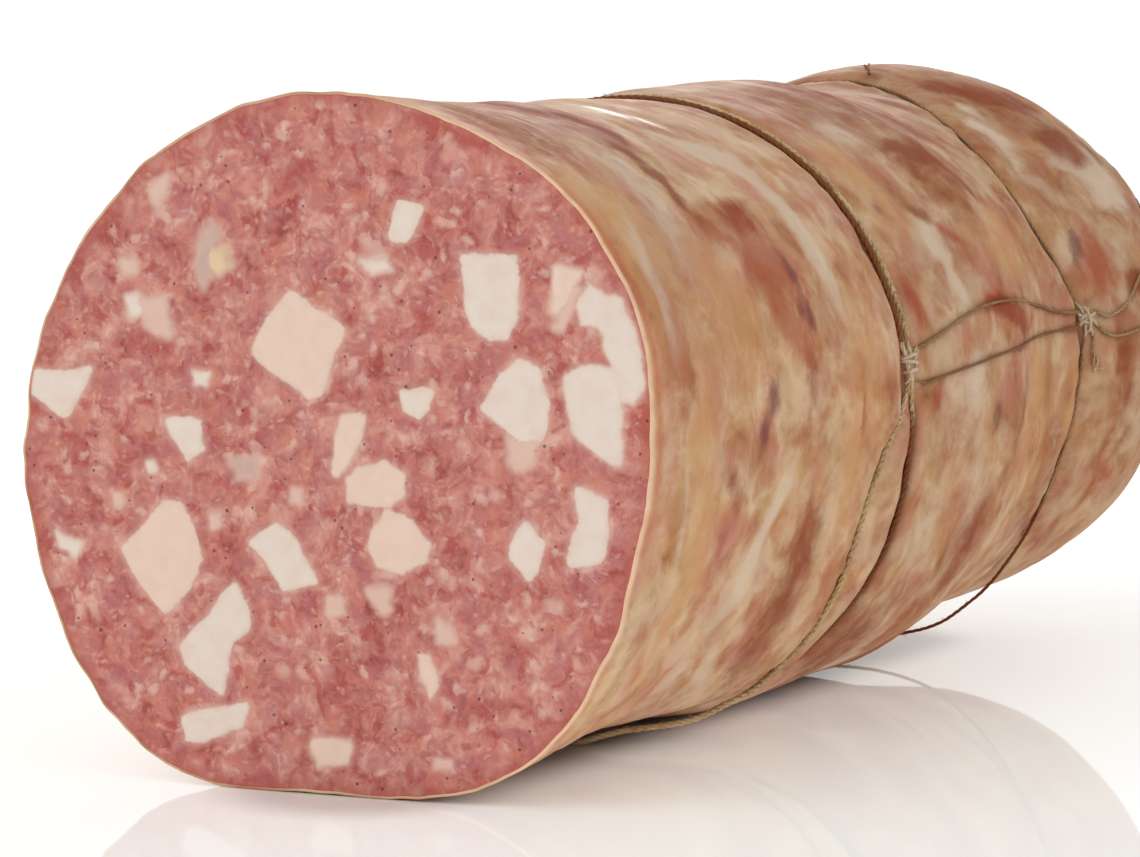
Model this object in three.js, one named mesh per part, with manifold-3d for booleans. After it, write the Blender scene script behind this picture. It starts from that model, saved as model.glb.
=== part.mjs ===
// Half of a tied cooked salami, lying on its side: one long body of meat in its casing, cut
// off at the front, slumped flat where it lies, drawn together at the far end, with two rings
// of butcher's twine round it, the strands that link them and the tie at the gathered end.
// Millimetres, +Z up, the cut towards -Y, the length along +Y, the body resting on z = 0.

import * as THREE from 'three';
import { mergeVertices } from 'three/addons/utils/BufferGeometryUtils.js';
import Module from 'manifold-3d';

const wasm = await Module();
wasm.setup();

// ---- driving dimensions ----

// Body. Heights and half widths are those of the middle of the length.
const BODY_RADIUS = 52.6;
const AXIS_HEIGHT = 51.2;
const DOME_END = 238;
const DOME_START = 140;
const LIP_FLARE = 1.1;
const LIP_LENGTH = 12;
const WAIST_DEPTH = 0.9;
const WAIST_AT = 42;
const WAIST_LENGTH = 24;
const SHOULDER_SWELL = 1.2;
const TAIL_SHRINK = 4.0;
const TAIL_LIFT = 14.8;
const TAIL_DRIFT = 10;
const AXIS_RISE = 2.0;
const CUT_ANGLE = 6.4;
const CUT_SHIFT = -1.0;
const CASING_EDGE = 0.8;

// Gathered end: the neck under the tie, and the pleated tuft of casing past it.
const NECK_RADIUS = 5.2;
const TUFT_RADIUS = 8.0;
const TUFT_START = 242.5;
const TUFT_END = 252;
const TUFT_PLEATS = 9;
const TIE_START = 238.8;

// Unevenness of the section: [lobes round it, height in mm, direction in degrees].
const CUT_LOBES = [[3, 0.4, 32], [4, 0.45, 38], [5, 0.5, 28]];
const LOBE_FADE = 120;
const OVAL_AT_CUT = 1.9;
const OVAL_ALONG = 0.5;
const OVAL_FADE = 45;
const OVAL_DIRECTION = 80;
const TAIL_OVAL = 3.8;
const TAIL_OVAL_DIRECTION = 58;

// Lumps of the filling under the casing: [along, round, height, phase].
const LUMPS = [[0.062, 3, 0.35, 0.4], [0.095, 5, 0.25, 2.1], [0.041, 2, 0.4, 4.0], [0.13, 7, 0.16, 1.2]];

// Twine.
const TWINE_DIAMETER = 1.1;
const TWINE_GAP = 0.3;
const TWINE_SIDES = 6;
const TWINE_STEP = 4.8;
const GROOVE_DEPTH = 1.0;
const GROOVE_WIDTH = 2.6;
const UNDERSIDE_GROOVE = 1.0;

// Routes over the casing, by hand: [degrees round from +X, millimetres from the cut, slack].
// Degrees run up over the top, down the far side, under the body and back up to the knot.
const FRONT_RING = [
  [14.6, 95.4, 0], [27, 95.0, 0], [45, 95.3, 0], [65, 95.5, 0], [90, 94.5, 0], [120, 92, 0],
  [150, 87, 0], [180, 80, 0], [210, 71, 0], [240, 61, 0], [262, 55, 0], [279, 57, 0],
  [290, 66, 0], [300, 72, 0], [308, 78, 0], [316, 82.5, 0], [326, 83.4, 0], [338, 82.8, 0],
  [349, 84, 0], [356, 87.6, 0], [361.4, 93, 0],
];
const REAR_RING = [
  [15.2, 98.0, 0], [27, 97.0, 0], [45, 97.2, 0], [65, 97.4, 0], [90, 96.6, 0], [120, 94.2, 0],
  [150, 89.3, 0], [180, 82.3, 0], [210, 73.4, 0], [240, 63.5, 0], [262, 57.6, 0], [278, 59.5, 0],
  [288, 68.2, 0], [297, 74.6, 0], [305, 81.5, 0], [311, 88, 0], [318, 92.6, 0], [326, 95.2, 0],
  [338, 96.6, 0], [350, 97.0, 0], [361.2, 97.2, 0],
];
const BACK_RING = [
  [13.2, 173.4, 0], [21, 171.6, 0], [30, 169.8, 0], [40, 169.6, 0], [52, 171.5, 0],
  [66, 177, 0], [80, 183, 0], [95, 187, 0], [120, 187, 0], [150, 184, 0], [180, 180, 0],
  [205, 176, 0.2], [228, 173, 1.6], [250, 171.5, 2.6], [275, 171, 2.9], [295, 171, 2.6],
  [308, 171, 2.0], [318, 171, 0.8], [328, 170.6, 0], [340, 170, 0], [352, 171.6, 0],
  [361.5, 173.2, 0],
];
const LINK_UPPER = [
  [13.0, 100.8, 0], [14.3, 108, 0], [16.2, 117, 0], [17.6, 126, 0], [17.7, 136, 0],
  [16.8, 146, 0], [14.6, 156, 0], [11.9, 165.6, 0], [10.7, 172.2, 0.5],
];
const LINK_LOWER = [
  [6.2, 100.8, 0], [6.7, 107, 0], [7.4, 118, 0], [8.1, 129, 0], [8.8, 141, 0], [9.2, 153, 0],
  [8.6, 164, 0], [7.6, 171.6, 0.5],
];
const END_STRAND_LOWER = [
  [6.4, 177.6, 0.3], [4.4, 180.2, 0], [3.1, 183.5, 0], [2.6, 191, 0], [4, 203, 0], [8, 216, 0],
  [14, 228, 0], [19, 234.5, 0], [22, 236.6, 0], [24, 237.5, 0],
];
const END_STRAND_UPPER = [
  [9.4, 177.8, 0.3], [7.6, 182.2, 0], [8.2, 187.6, 0], [10.4, 192, 0], [18, 203, 0], [27, 216, 0],
  [36, 228, 0], [45, 234.5, 0], [54, 236.6, 0], [62, 237.5, 0],
];
const BACK_TAIL = [[4.6, 176.0, 0.2], [1.2, 175.6, 0.3], [-2.6, 176.2, 0.5]];
const TOP_NUB = [[92.5, 189.4, 0.2], [93.5, 190.6, 1.0], [94.0, 191.0, 2.4]];

// Knots: [degrees round, millimetres from the cut] of their middles, and their half sizes.
const FRONT_KNOT = { at: [8.2, 97.2], halfHeight: 3.0, halfWidth: 1.7 };
const BACK_KNOT = { at: [8.6, 174.9], halfHeight: 1.9, halfWidth: 1.1 };
const KNOT_STEPS = 7;
const END_TIE_WRAPS = 3;
const TIE_ARC_STEPS = 3;
const TIE_ROUND_STEPS = 18;

// Mesh density.
const ROUND_STEPS = 76;
const CUT_ROWS = [0, 0.5, 2, 5, 10, 17, 25, 34, 44, 54, 64, 73, 81, 87];
const RING_ROW_OFFSETS = [-4.6, -2.8, -1.4, 0];
const REAR_ROW_OFFSETS = [0, 1.4, 2.8, 4.6];
const BACK_ROW_OFFSETS = [-4.2, -2.6, -1.2, 0, 1.2, 2.6, 4.2];
const ROWS_BETWEEN = [1 / 3, 2 / 3];
const MIDDLE_ROWS = [106, 114, 123, 132, 140, 148, 155, 161];
const DOME_ROWS = 14;

// ---- small helpers ----

const degrees = THREE.MathUtils.degToRad;
const clamp = THREE.MathUtils.clamp;
const smoothstep = THREE.MathUtils.smoothstep;
const bell = (x, width) => Math.exp(-((x / width) ** 2));

// A smooth line through a route, read by its angle.
function routeCurve(route) {
  const points = route.map(([angle, along, slack]) => new THREE.Vector3(angle, along, slack));
  return new THREE.CatmullRomCurve3(points, false, 'centripetal');
}

// How far from the cut a ring's route lies at an angle, the whole way round.
function ringReader(route) {
  const samples = routeCurve(route).getPoints(240);
  const first = samples[0];
  samples.push(new THREE.Vector3(first.x + 360, first.y, 0));
  return (angle) => {
    const turned = first.x + THREE.MathUtils.euclideanModulo(angle - first.x, 360);
    let index = 1;
    while (index < samples.length - 1 && samples[index].x < turned) index += 1;
    const low = samples[index - 1];
    const high = samples[index];
    const part = clamp((turned - low.x) / Math.max(high.x - low.x, 1e-6), 0, 1);
    return THREE.MathUtils.lerp(low.y, high.y, part);
  };
}

const frontRingAt = ringReader(FRONT_RING);
const rearRingAt = ringReader(REAR_RING);
const backRingAt = ringReader(BACK_RING);
const FRONT_ROW = frontRingAt(60);
const REAR_ROW = rearRingAt(60);
const BACK_ROW = backRingAt(60);
const FREE_ROW = DOME_END - 14;

// ---- the body's surface ----

// Radius of the rounded far end, with the neck and the tuft past it, as a part of the body's.
function domeScale(along) {
  const t = clamp((along - DOME_START) / (DOME_END - DOME_START), 0, 1);
  return Math.max(1 - t ** 4.1, 0) ** (1 / 2.25);
}

function neckRadius(along) {
  const flare = smoothstep(along, TUFT_START - 0.5, TUFT_END - 3);
  const closing = clamp((along - TUFT_START) / (TUFT_END - TUFT_START), 0, 1);
  const radius = NECK_RADIUS + (TUFT_RADIUS - NECK_RADIUS) * flare;
  return radius * Math.sqrt(Math.max(1 - closing ** 6, 0));
}

function bodyRadius(along) {
  const tail = clamp((along - DOME_START) / (DOME_END - DOME_START), 0, 1);
  let radius = BODY_RADIUS + LIP_FLARE * Math.exp(-along / LIP_LENGTH);
  radius -= WAIST_DEPTH * bell(along - WAIST_AT, WAIST_LENGTH);
  radius += SHOULDER_SWELL * smoothstep(along, 95, 155);
  radius -= TAIL_SHRINK * Math.sin(Math.PI * clamp(tail * 1.6, 0, 1));
  return radius;
}

function axisAt(along) {
  const tail = clamp((along - DOME_START) / (DOME_END - DOME_START), 0, 1);
  const rise = AXIS_RISE * clamp((along - 70) / 75, 0, 1) ** 1.3;
  const x = CUT_SHIFT * Math.exp(-Math.max(along, 0) / 20) + TAIL_DRIFT * tail ** 1.5;
  return new THREE.Vector3(x, along, AXIS_HEIGHT + rise + TAIL_LIFT * tail ** 1.5);
}

function sectionLobes(angle, along) {
  const tail = clamp((along - DOME_START) / (DOME_END - DOME_START), 0, 1);
  const oval = OVAL_ALONG + OVAL_AT_CUT * Math.exp(-Math.max(along, 0) / OVAL_FADE);
  let height = oval * Math.cos(2 * (angle - degrees(OVAL_DIRECTION)));
  const fade = Math.exp(-Math.max(along, 0) / LOBE_FADE);
  for (const [count, lobe, direction] of CUT_LOBES) {
    height += fade * lobe * Math.cos(count * (angle - degrees(direction)));
  }
  for (const [wave, count, lump, phase] of LUMPS) {
    const swell = smoothstep(along, 4, 40);
    height += swell * lump * Math.sin(wave * along + phase) * Math.cos(count * angle + 2 * phase);
  }
  const tailOval = TAIL_OVAL * Math.sin(Math.PI * tail) * clamp(2 * tail, 0, 1);
  return height * (1 - tail) - tailOval * Math.cos(2 * (angle - degrees(TAIL_OVAL_DIRECTION)));
}

function grooveDepth(angle, along) {
  const turn = THREE.MathUtils.radToDeg(angle);
  const under = smoothstep(-Math.sin(angle), 0.75, 0.98);
  const front = bell(along - frontRingAt(turn), GROOVE_WIDTH);
  const rear = bell(along - rearRingAt(turn), GROOVE_WIDTH);
  const back = bell(along - backRingAt(turn), GROOVE_WIDTH);
  return Math.max(front, rear) * (GROOVE_DEPTH + UNDERSIDE_GROOVE * under) + back * GROOVE_DEPTH;
}

// A point of the surface, by its angle round the axis and its distance from the cut.
function surfaceAt(angle, along) {
  const centre = axisAt(along);
  const dome = domeScale(along);
  const pleat = 1 + 0.13 * smoothstep(along, TUFT_START, TUFT_END) * Math.cos(TUFT_PLEATS * angle);
  const round = (bodyRadius(along) + sectionLobes(angle, along)) * dome;
  const radius = Math.max(round, neckRadius(along) * pleat);
  const outward = new THREE.Vector3(Math.cos(angle), 0, Math.sin(angle));
  const point = centre.clone().addScaledVector(outward, radius);
  const softened = 0.5 * (point.z + Math.hypot(point.z, 1.2)) - 0.35;
  point.z = Math.max(softened, 0);
  const groove = grooveDepth(angle, along) * smoothstep(dome, 0.1, 0.5);
  const inward = centre.clone().sub(point).normalize();
  return point.addScaledVector(inward, groove);
}

// The grid's rows follow the cut and the strands: a row's distance from the cut at an angle.
function rowDistance(row, angle) {
  const turn = THREE.MathUtils.radToDeg(angle);
  const cutEdge = Math.tan(degrees(CUT_ANGLE)) * BODY_RADIUS * Math.cos(angle);
  const stations = [
    [0, cutEdge], [FRONT_ROW, frontRingAt(turn)], [REAR_ROW, rearRingAt(turn)],
    [BACK_ROW, backRingAt(turn)], [FREE_ROW, FREE_ROW],
  ];
  if (row >= FREE_ROW) return row;
  const after = stations.findIndex(([place]) => place > row);
  const [low, lowAlong] = stations[after - 1];
  const [high, highAlong] = stations[after];
  return THREE.MathUtils.mapLinear(row, low, high, lowAlong, highAlong);
}

// ---- the body ----

function bodyRows() {
  const rows = [...CUT_ROWS];
  RING_ROW_OFFSETS.forEach((offset) => rows.push(FRONT_ROW + offset));
  ROWS_BETWEEN.forEach((part) => rows.push(THREE.MathUtils.lerp(FRONT_ROW, REAR_ROW, part)));
  REAR_ROW_OFFSETS.forEach((offset) => rows.push(REAR_ROW + offset));
  rows.push(...MIDDLE_ROWS);
  BACK_ROW_OFFSETS.forEach((offset) => rows.push(BACK_ROW + offset));
  const start = BACK_ROW + 7.5;
  for (let step = 0; step < DOME_ROWS; step += 1) {
    const t = Math.sin((step / (DOME_ROWS - 1)) * 0.5 * Math.PI);
    rows.push(start + (DOME_END - 0.6 - start) * t);
  }
  rows.push(DOME_END + 0.2, TUFT_START, TUFT_START + 3, TUFT_END - 3, TUFT_END - 1, TUFT_END - 0.25);
  return rows;
}

// A lathe gives the closed grid of faces. Its points then move to the uneven surface.
function makeBody() {
  const rows = bodyRows();
  const profile = [new THREE.Vector2(0, 0)];
  rows.forEach((row, index) => profile.push(new THREE.Vector2(1, index + 1)));
  profile.push(new THREE.Vector2(0, rows.length + 1));
  const geometry = new THREE.LatheGeometry(profile, ROUND_STEPS);
  const places = geometry.attributes.position;
  const cutCentre = axisAt(0);
  const tip = axisAt(TUFT_END);
  for (let index = 0; index < places.count; index += 1) {
    const level = Math.round(places.getY(index));
    if (level === 0) {
      places.setXYZ(index, cutCentre.x, Math.tan(degrees(CUT_ANGLE)) * cutCentre.x, cutCentre.z);
      continue;
    }
    if (level > rows.length) {
      places.setXYZ(index, tip.x, TUFT_END, tip.z);
      continue;
    }
    const angle = Math.atan2(places.getZ(index), places.getX(index));
    const along = rowDistance(rows[level - 1], angle);
    const point = surfaceAt(angle, along);
    if (level === 1) {
      point.sub(cutCentre).multiplyScalar(1 - CASING_EDGE / BODY_RADIUS).add(cutCentre);
      point.y = Math.tan(degrees(CUT_ANGLE)) * point.x;
    }
    places.setXYZ(index, point.x, point.y, point.z);
  }
  return closedGeometry(geometry);
}

// One closed body from a geometry whose seams hold double points.
function closedGeometry(geometry) {
  const bare = geometry.clone();
  bare.deleteAttribute('normal');
  bare.deleteAttribute('uv');
  const merged = mergeVertices(bare, 1e-3);
  const kept = [];
  const index = merged.index.array;
  for (let face = 0; face < index.length; face += 3) {
    const [a, b, c] = index.slice(face, face + 3);
    if (a !== b && b !== c && c !== a) kept.push(a, b, c);
  }
  merged.setIndex(kept);
  merged.computeVertexNormals();
  return merged;
}

// ---- the twine ----

function outwardNormal(angle, along) {
  const step = 1e-3;
  const point = surfaceAt(angle, along);
  const round = surfaceAt(angle + step, along).sub(point);
  const forth = surfaceAt(angle, along + 50 * step).sub(point);
  const normal = forth.cross(round).normalize();
  const outward = point.clone().sub(axisAt(along));
  if (normal.dot(outward) < 0) normal.negate();
  return normal;
}

// The middle line of a strand that follows a route just clear of the casing.
function strandCurve(route) {
  const curve = routeCurve(route);
  const count = Math.max(6, Math.round(spanOf(route) / 4));
  const points = curve.getPoints(count).map((place) => {
    const angle = degrees(place.x);
    const reach = 0.5 * TWINE_DIAMETER + TWINE_GAP + 0.12 + Math.max(place.z, 0);
    const point = surfaceAt(angle, place.y).addScaledVector(outwardNormal(angle, place.y), reach);
    point.z = Math.max(point.z, 0.5 * TWINE_DIAMETER + 0.1);
    return point;
  });
  return new THREE.CatmullRomCurve3(points, false, 'centripetal');
}

// Length of a route over the casing, near enough to choose the number of its steps.
function spanOf(route) {
  let span = 0;
  for (let index = 1; index < route.length; index += 1) {
    const turn = degrees(route[index][0] - route[index - 1][0]) * BODY_RADIUS;
    span += Math.hypot(turn, route[index][1] - route[index - 1][1]);
  }
  return span;
}

function roundSection(diameter, sides) {
  const shape = new THREE.Shape();
  for (let side = 0; side < sides; side += 1) {
    const turn = (2 * Math.PI * side) / sides;
    const x = 0.5 * diameter * Math.cos(turn);
    const y = 0.5 * diameter * Math.sin(turn);
    if (side === 0) shape.moveTo(x, y);
    else shape.lineTo(x, y);
  }
  shape.closePath();
  return shape;
}

function tubeAlong(curve, diameter, steps) {
  const settings = { steps, bevelEnabled: false, extrudePath: curve };
  return closedGeometry(new THREE.ExtrudeGeometry(roundSection(diameter, TWINE_SIDES), settings));
}

function makeStrand(route) {
  const steps = Math.max(4, Math.round(spanOf(route) / TWINE_STEP));
  return tubeAlong(strandCurve(route), TWINE_DIAMETER, steps);
}

function toSolid(geometry) {
  const vertProperties = Float32Array.from(geometry.attributes.position.array);
  const triVerts = Uint32Array.from(geometry.index.array);
  return new wasm.Manifold(new wasm.Mesh({ numProp: 3, vertProperties, triVerts }));
}

function fromSolid(solid) {
  const mesh = solid.getMesh();
  const geometry = new THREE.BufferGeometry();
  geometry.setAttribute('position', new THREE.BufferAttribute(Float32Array.from(mesh.vertProperties), 3));
  geometry.setIndex(Array.from(mesh.triVerts));
  geometry.computeVertexNormals();
  return geometry;
}

// A knot is three turns of twine drawn tight over each other: one upright, two slanting.
function makeKnot({ at, halfHeight, halfWidth }) {
  const angle = degrees(at[0]);
  const normal = outwardNormal(angle, at[1]);
  const lengthwise = new THREE.Vector3(0, 1, 0).addScaledVector(normal, -normal.y).normalize();
  const upward = new THREE.Vector3().crossVectors(lengthwise, normal).normalize();
  const base = surfaceAt(angle, at[1]).addScaledVector(normal, TWINE_GAP + 0.75 * TWINE_DIAMETER);
  const turns = [[0, 1], [-0.8, 0.62], [0.8, 0.62]];
  const solids = turns.map(([lean, reach], number) => {
    const points = [];
    for (let step = 0; step < KNOT_STEPS; step += 1) {
      const t = (2 * step) / (KNOT_STEPS - 1) - 1;
      const point = base.clone().addScaledVector(upward, t * halfHeight * reach);
      point.addScaledVector(lengthwise, t * lean * halfWidth);
      point.addScaledVector(normal, (0.25 + 0.2 * number) * TWINE_DIAMETER * (1 - t * t));
      points.push(point);
    }
    const curve = new THREE.CatmullRomCurve3(points, false, 'centripetal');
    return toSolid(tubeAlong(curve, 1.35 * TWINE_DIAMETER, KNOT_STEPS - 1));
  });
  return fromSolid(solids.reduce((whole, solid) => whole.add(solid)));
}

// The tie round the neck: turns of twine side by side, as one ring.
function makeEndTie() {
  const centre = axisAt(DOME_END);
  const inner = NECK_RADIUS * 1.02 + TWINE_GAP + 0.25;
  const radius = 0.5 * TWINE_DIAMETER;
  const profile = [new THREE.Vector2(inner, 0)];
  for (let wrap = 0; wrap < END_TIE_WRAPS; wrap += 1) {
    for (let step = 0; step <= TIE_ARC_STEPS; step += 1) {
      const turn = -0.5 * Math.PI + (Math.PI * step) / TIE_ARC_STEPS;
      const along = (2 * wrap + 1) * radius + radius * 0.94 * Math.sin(turn);
      profile.push(new THREE.Vector2(inner + radius + radius * Math.cos(turn), along));
    }
  }
  profile.push(new THREE.Vector2(inner, 2 * radius * END_TIE_WRAPS));
  profile.push(profile[0].clone());
  const geometry = closedGeometry(new THREE.LatheGeometry(profile, TIE_ROUND_STEPS));
  geometry.translate(centre.x, TIE_START, centre.z);
  return geometry;
}

// ---- the object ----

const casing = new THREE.MeshStandardMaterial({ color: '#b98a72', roughness: 0.45, metalness: 0 });
const twine = new THREE.MeshStandardMaterial({ color: '#94784f', roughness: 0.85, metalness: 0 });

const salami = new THREE.Group();

function addPiece(name, geometry, material) {
  const mesh = new THREE.Mesh(geometry, material.clone());
  mesh.name = name;
  salami.add(mesh);
  return mesh;
}

addPiece('salami', makeBody(), casing);

const STRANDS = {
  twine_front_ring: FRONT_RING,
  twine_rear_ring: REAR_RING,
  twine_back_ring: BACK_RING,
  twine_link_upper: LINK_UPPER,
  twine_link_lower: LINK_LOWER,
  twine_end_lower: END_STRAND_LOWER,
  twine_end_upper: END_STRAND_UPPER,
  twine_back_tail: BACK_TAIL,
  twine_top_nub: TOP_NUB,
};
for (const [name, route] of Object.entries(STRANDS)) addPiece(name, makeStrand(route), twine);

addPiece('twine_front_knot', makeKnot(FRONT_KNOT), twine);
addPiece('twine_back_knot', makeKnot(BACK_KNOT), twine);
addPiece('twine_end_tie', makeEndTie(), twine);

// The origin is under the middle of the whole, on the surface that it rests on.
const bounds = new THREE.Box3().setFromObject(salami);
const middle = bounds.getCenter(new THREE.Vector3());
salami.position.set(-middle.x, -middle.y, -bounds.min.z);

export default salami;
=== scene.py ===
"""Half of a tied cooked salami, dressed for its picture.

One long body of meat in its casing lies on its side with its cut face to the front. The cut
shows pink mince with dice of back fat, and butcher's twine runs round and along the casing.
Sizes are millimetres in the cut's own frame: the cut near y = 0, the length along +Y, the
table at z = 0. Every finished mesh is brought to metres in the row frame by Placement.
"""

from __future__ import annotations

import logging
import math
from collections.abc import Callable, Sequence
from dataclasses import dataclass, field
from enum import Enum
from functools import partial

import bmesh
import bpy
import numpy as np
from mathutils import Matrix, Vector
from mathutils.kdtree import KDTree


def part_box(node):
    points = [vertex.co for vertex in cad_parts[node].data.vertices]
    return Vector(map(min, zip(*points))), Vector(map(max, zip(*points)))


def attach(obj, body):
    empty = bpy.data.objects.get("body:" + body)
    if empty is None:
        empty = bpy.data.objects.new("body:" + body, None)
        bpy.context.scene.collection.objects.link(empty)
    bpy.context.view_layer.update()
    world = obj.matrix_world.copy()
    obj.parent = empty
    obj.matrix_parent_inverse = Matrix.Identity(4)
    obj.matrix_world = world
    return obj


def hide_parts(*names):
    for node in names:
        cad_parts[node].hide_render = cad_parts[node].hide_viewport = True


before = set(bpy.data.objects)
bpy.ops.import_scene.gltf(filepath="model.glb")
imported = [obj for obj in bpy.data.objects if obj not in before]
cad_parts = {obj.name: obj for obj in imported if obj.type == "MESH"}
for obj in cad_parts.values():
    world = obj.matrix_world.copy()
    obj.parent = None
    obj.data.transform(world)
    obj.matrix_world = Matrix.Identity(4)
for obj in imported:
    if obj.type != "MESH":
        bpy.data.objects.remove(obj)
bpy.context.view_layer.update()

MILLIMETRE = 0.001
ROOT_BODY = "root"
LIT_POINT = (0.0, 0.0, 0.05)

log = logging.getLogger("cooked_salami")

Array = np.ndarray
Place = tuple[float, float, float]
Colour = tuple[float, float, float, float]
NodeMaker = Callable[..., bpy.types.NodeSocket]


# ---- small tools ----


def paint(code: str) -> Colour:
    """Turns an sRGB hex colour to the linear colour that shaders work with.

    Args:
        code: Six hex digits after a number sign.

    Returns:
        Red, green, blue and an alpha of one, linear.
    """
    parts = [int(code[start : start + 2], 16) / 255 for start in (1, 3, 5)]
    linear = [p / 12.92 if p <= 0.04045 else ((p + 0.055) / 1.055) ** 2.4 for p in parts]
    return (*linear, 1.0)


def smoothstep(value: Array, low: float, high: float) -> Array:
    """Rises smoothly from 0 at low to 1 at high."""
    part = np.clip((value - low) / (high - low), 0.0, 1.0)
    return part * part * (3 - 2 * part)


def bell(value: Array, width: float) -> Array:
    """A smooth hump of height 1, down to about a third at width from its middle."""
    return np.exp(-((value / width) ** 2))


def add_node(
    tree: bpy.types.NodeTree,
    kind: str,
    inputs: dict[str | int, object] | None = None,
    output: str | None = None,
    **settings: object,
) -> bpy.types.NodeSocket:
    """Adds one node with its settings, fills its sockets and gives back one of its outputs.

    Args:
        tree: The node tree that it goes into.
        kind: Blender's name for the kind of shader node, past its leading ShaderNode.
        inputs: Socket names or numbers, each with a value or with the socket to link from.
        output: The output wanted; the first one in use if this is None.
        **settings: The node's own properties.

    Returns:
        The wanted output socket; its .node is the node.
    """
    made = tree.nodes.new("ShaderNode" + kind)
    for name, value in settings.items():
        setattr(made, name, value)
    for key, value in (inputs or {}).items():
        if isinstance(key, int):
            socket = made.inputs[key]
        else:
            socket = next(s for s in made.inputs if s.name == key and s.enabled)
        if isinstance(value, bpy.types.NodeSocket):
            tree.links.new(value, socket)
        else:
            socket.default_value = value
    if output is not None:
        return made.outputs[output]
    return next((s for s in made.outputs if s.enabled), None)


def set_stops(ramp: bpy.types.NodeSocket, stops: Sequence[tuple[float, str]]) -> None:
    """Gives a colour ramp its stops.

    Args:
        ramp: The colour output of the ramp node.
        stops: Places from 0 to 1, each with its sRGB hex colour.
    """
    elements = ramp.node.color_ramp.elements
    while len(elements) < len(stops):
        elements.new(0.5)
    for element, (place, code) in zip(elements, stops):
        element.position = place
        element.color = paint(code)


def new_material(name: str) -> tuple[bpy.types.Material, NodeMaker]:
    """Makes an empty node material.

    Args:
        name: The real finish that it stands for.

    Returns:
        The material, and add_node for its own tree.
    """
    material = bpy.data.materials.new(name)
    material.use_nodes = True
    material.node_tree.nodes.clear()
    return material, partial(add_node, material.node_tree)


def add_object(name: str, data: bpy.types.ID) -> bpy.types.Object:
    """Puts a mesh, a light or a camera into the scene as an object of its own."""
    made = bpy.data.objects.new(name, data)
    bpy.context.scene.collection.objects.link(made)
    return made


def unit(vectors: Array) -> Array:
    """Vectors along the last axis, brought to length 1."""
    return vectors / np.maximum(np.linalg.norm(vectors, axis=-1, keepdims=True), 1e-9)


def degrees_round(angle: Array) -> Array:
    """Degrees from -180 to 180 of angles in radians."""
    return np.mod(np.degrees(angle) + 180, 360) - 180


def sorted_tree(points: Array) -> KDTree:
    """Sorts points for finding the nearest one to a place."""
    tree = KDTree(len(points))
    for index, place in enumerate(points):
        tree.insert(place, index)
    tree.balance()
    return tree


class LatticeNoise:
    """Smooth seeded noise from random values on a repeating lattice, for moving vertices."""

    def __init__(self, seed: int, size: int = 48) -> None:
        """Draws the lattice's values.

        Args:
            seed: Seed of the draw.
            size: Values along each side of the lattice.
        """
        self.size = size
        self.values = np.random.default_rng(seed).random((size, size, size))

    def at(self, places: Array, scale: Sequence[float]) -> Array:
        """Reads the noise.

        Args:
            places: Points in millimetres, one row each.
            scale: Millimetres from one lattice value to the next, along each axis.

        Returns:
            One value from 0 to 1 for each point.
        """
        steps = places / np.asarray(scale, float)
        corner = np.floor(steps).astype(int)
        part = steps - corner
        part = part * part * (3 - 2 * part)
        total = np.zeros(len(places))
        for dx in (0, 1):
            for dy in (0, 1):
                for dz in (0, 1):
                    index = (corner + (dx, dy, dz)) % self.size
                    share = np.abs(1 - dx - part[:, 0])
                    share = share * np.abs(1 - dy - part[:, 1]) * np.abs(1 - dz - part[:, 2])
                    total += share * self.values[index[:, 0], index[:, 1], index[:, 2]]
        return total

    def layered(self, places: Array, scale: Sequence[float], layers: int) -> Array:
        """Sums layers of the noise, each twice as fine and half as high as the last.

        Args:
            places: Points in millimetres, one row each.
            scale: Lattice step of the coarsest layer, along each axis.
            layers: How many layers.

        Returns:
            One value from 0 to 1 for each point.
        """
        size = np.asarray(scale, float)
        total = np.zeros(len(places))
        weight = 0.0
        for layer in range(layers):
            total += 0.5**layer * self.at(places + 17.3 * layer, size / 2**layer)
            weight += 0.5**layer
        return total / weight


@dataclass(frozen=True)
class Placement:
    """Where the cut's frame sits in the row frame, in millimetres."""

    shift_x: float
    shift_y: float

    @classmethod
    def from_frame(cls, tuft_end: float, end_axis_x: float) -> Placement:
        """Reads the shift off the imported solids.

        Args:
            tuft_end: How far from the cut the body's last point lies.
            end_axis_x: Where the end tie's middle lies across the body.

        Returns:
            The placement that brings the cut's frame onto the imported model.
        """
        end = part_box("salami")[1].y / MILLIMETRE
        low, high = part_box("twine_end_tie")
        middle = 0.5 * (low.x + high.x) / MILLIMETRE
        return cls(shift_x=middle - end_axis_x, shift_y=end - tuft_end)

    def metres(self, points: Array) -> Array:
        """Brings points from the cut's frame to the row frame.

        Args:
            points: Millimetres, one row each.

        Returns:
            Metres in the row frame.
        """
        return (points + (self.shift_x, self.shift_y, 0.0)) * MILLIMETRE


# ---- the form of the body, as its solid has it ----

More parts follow.
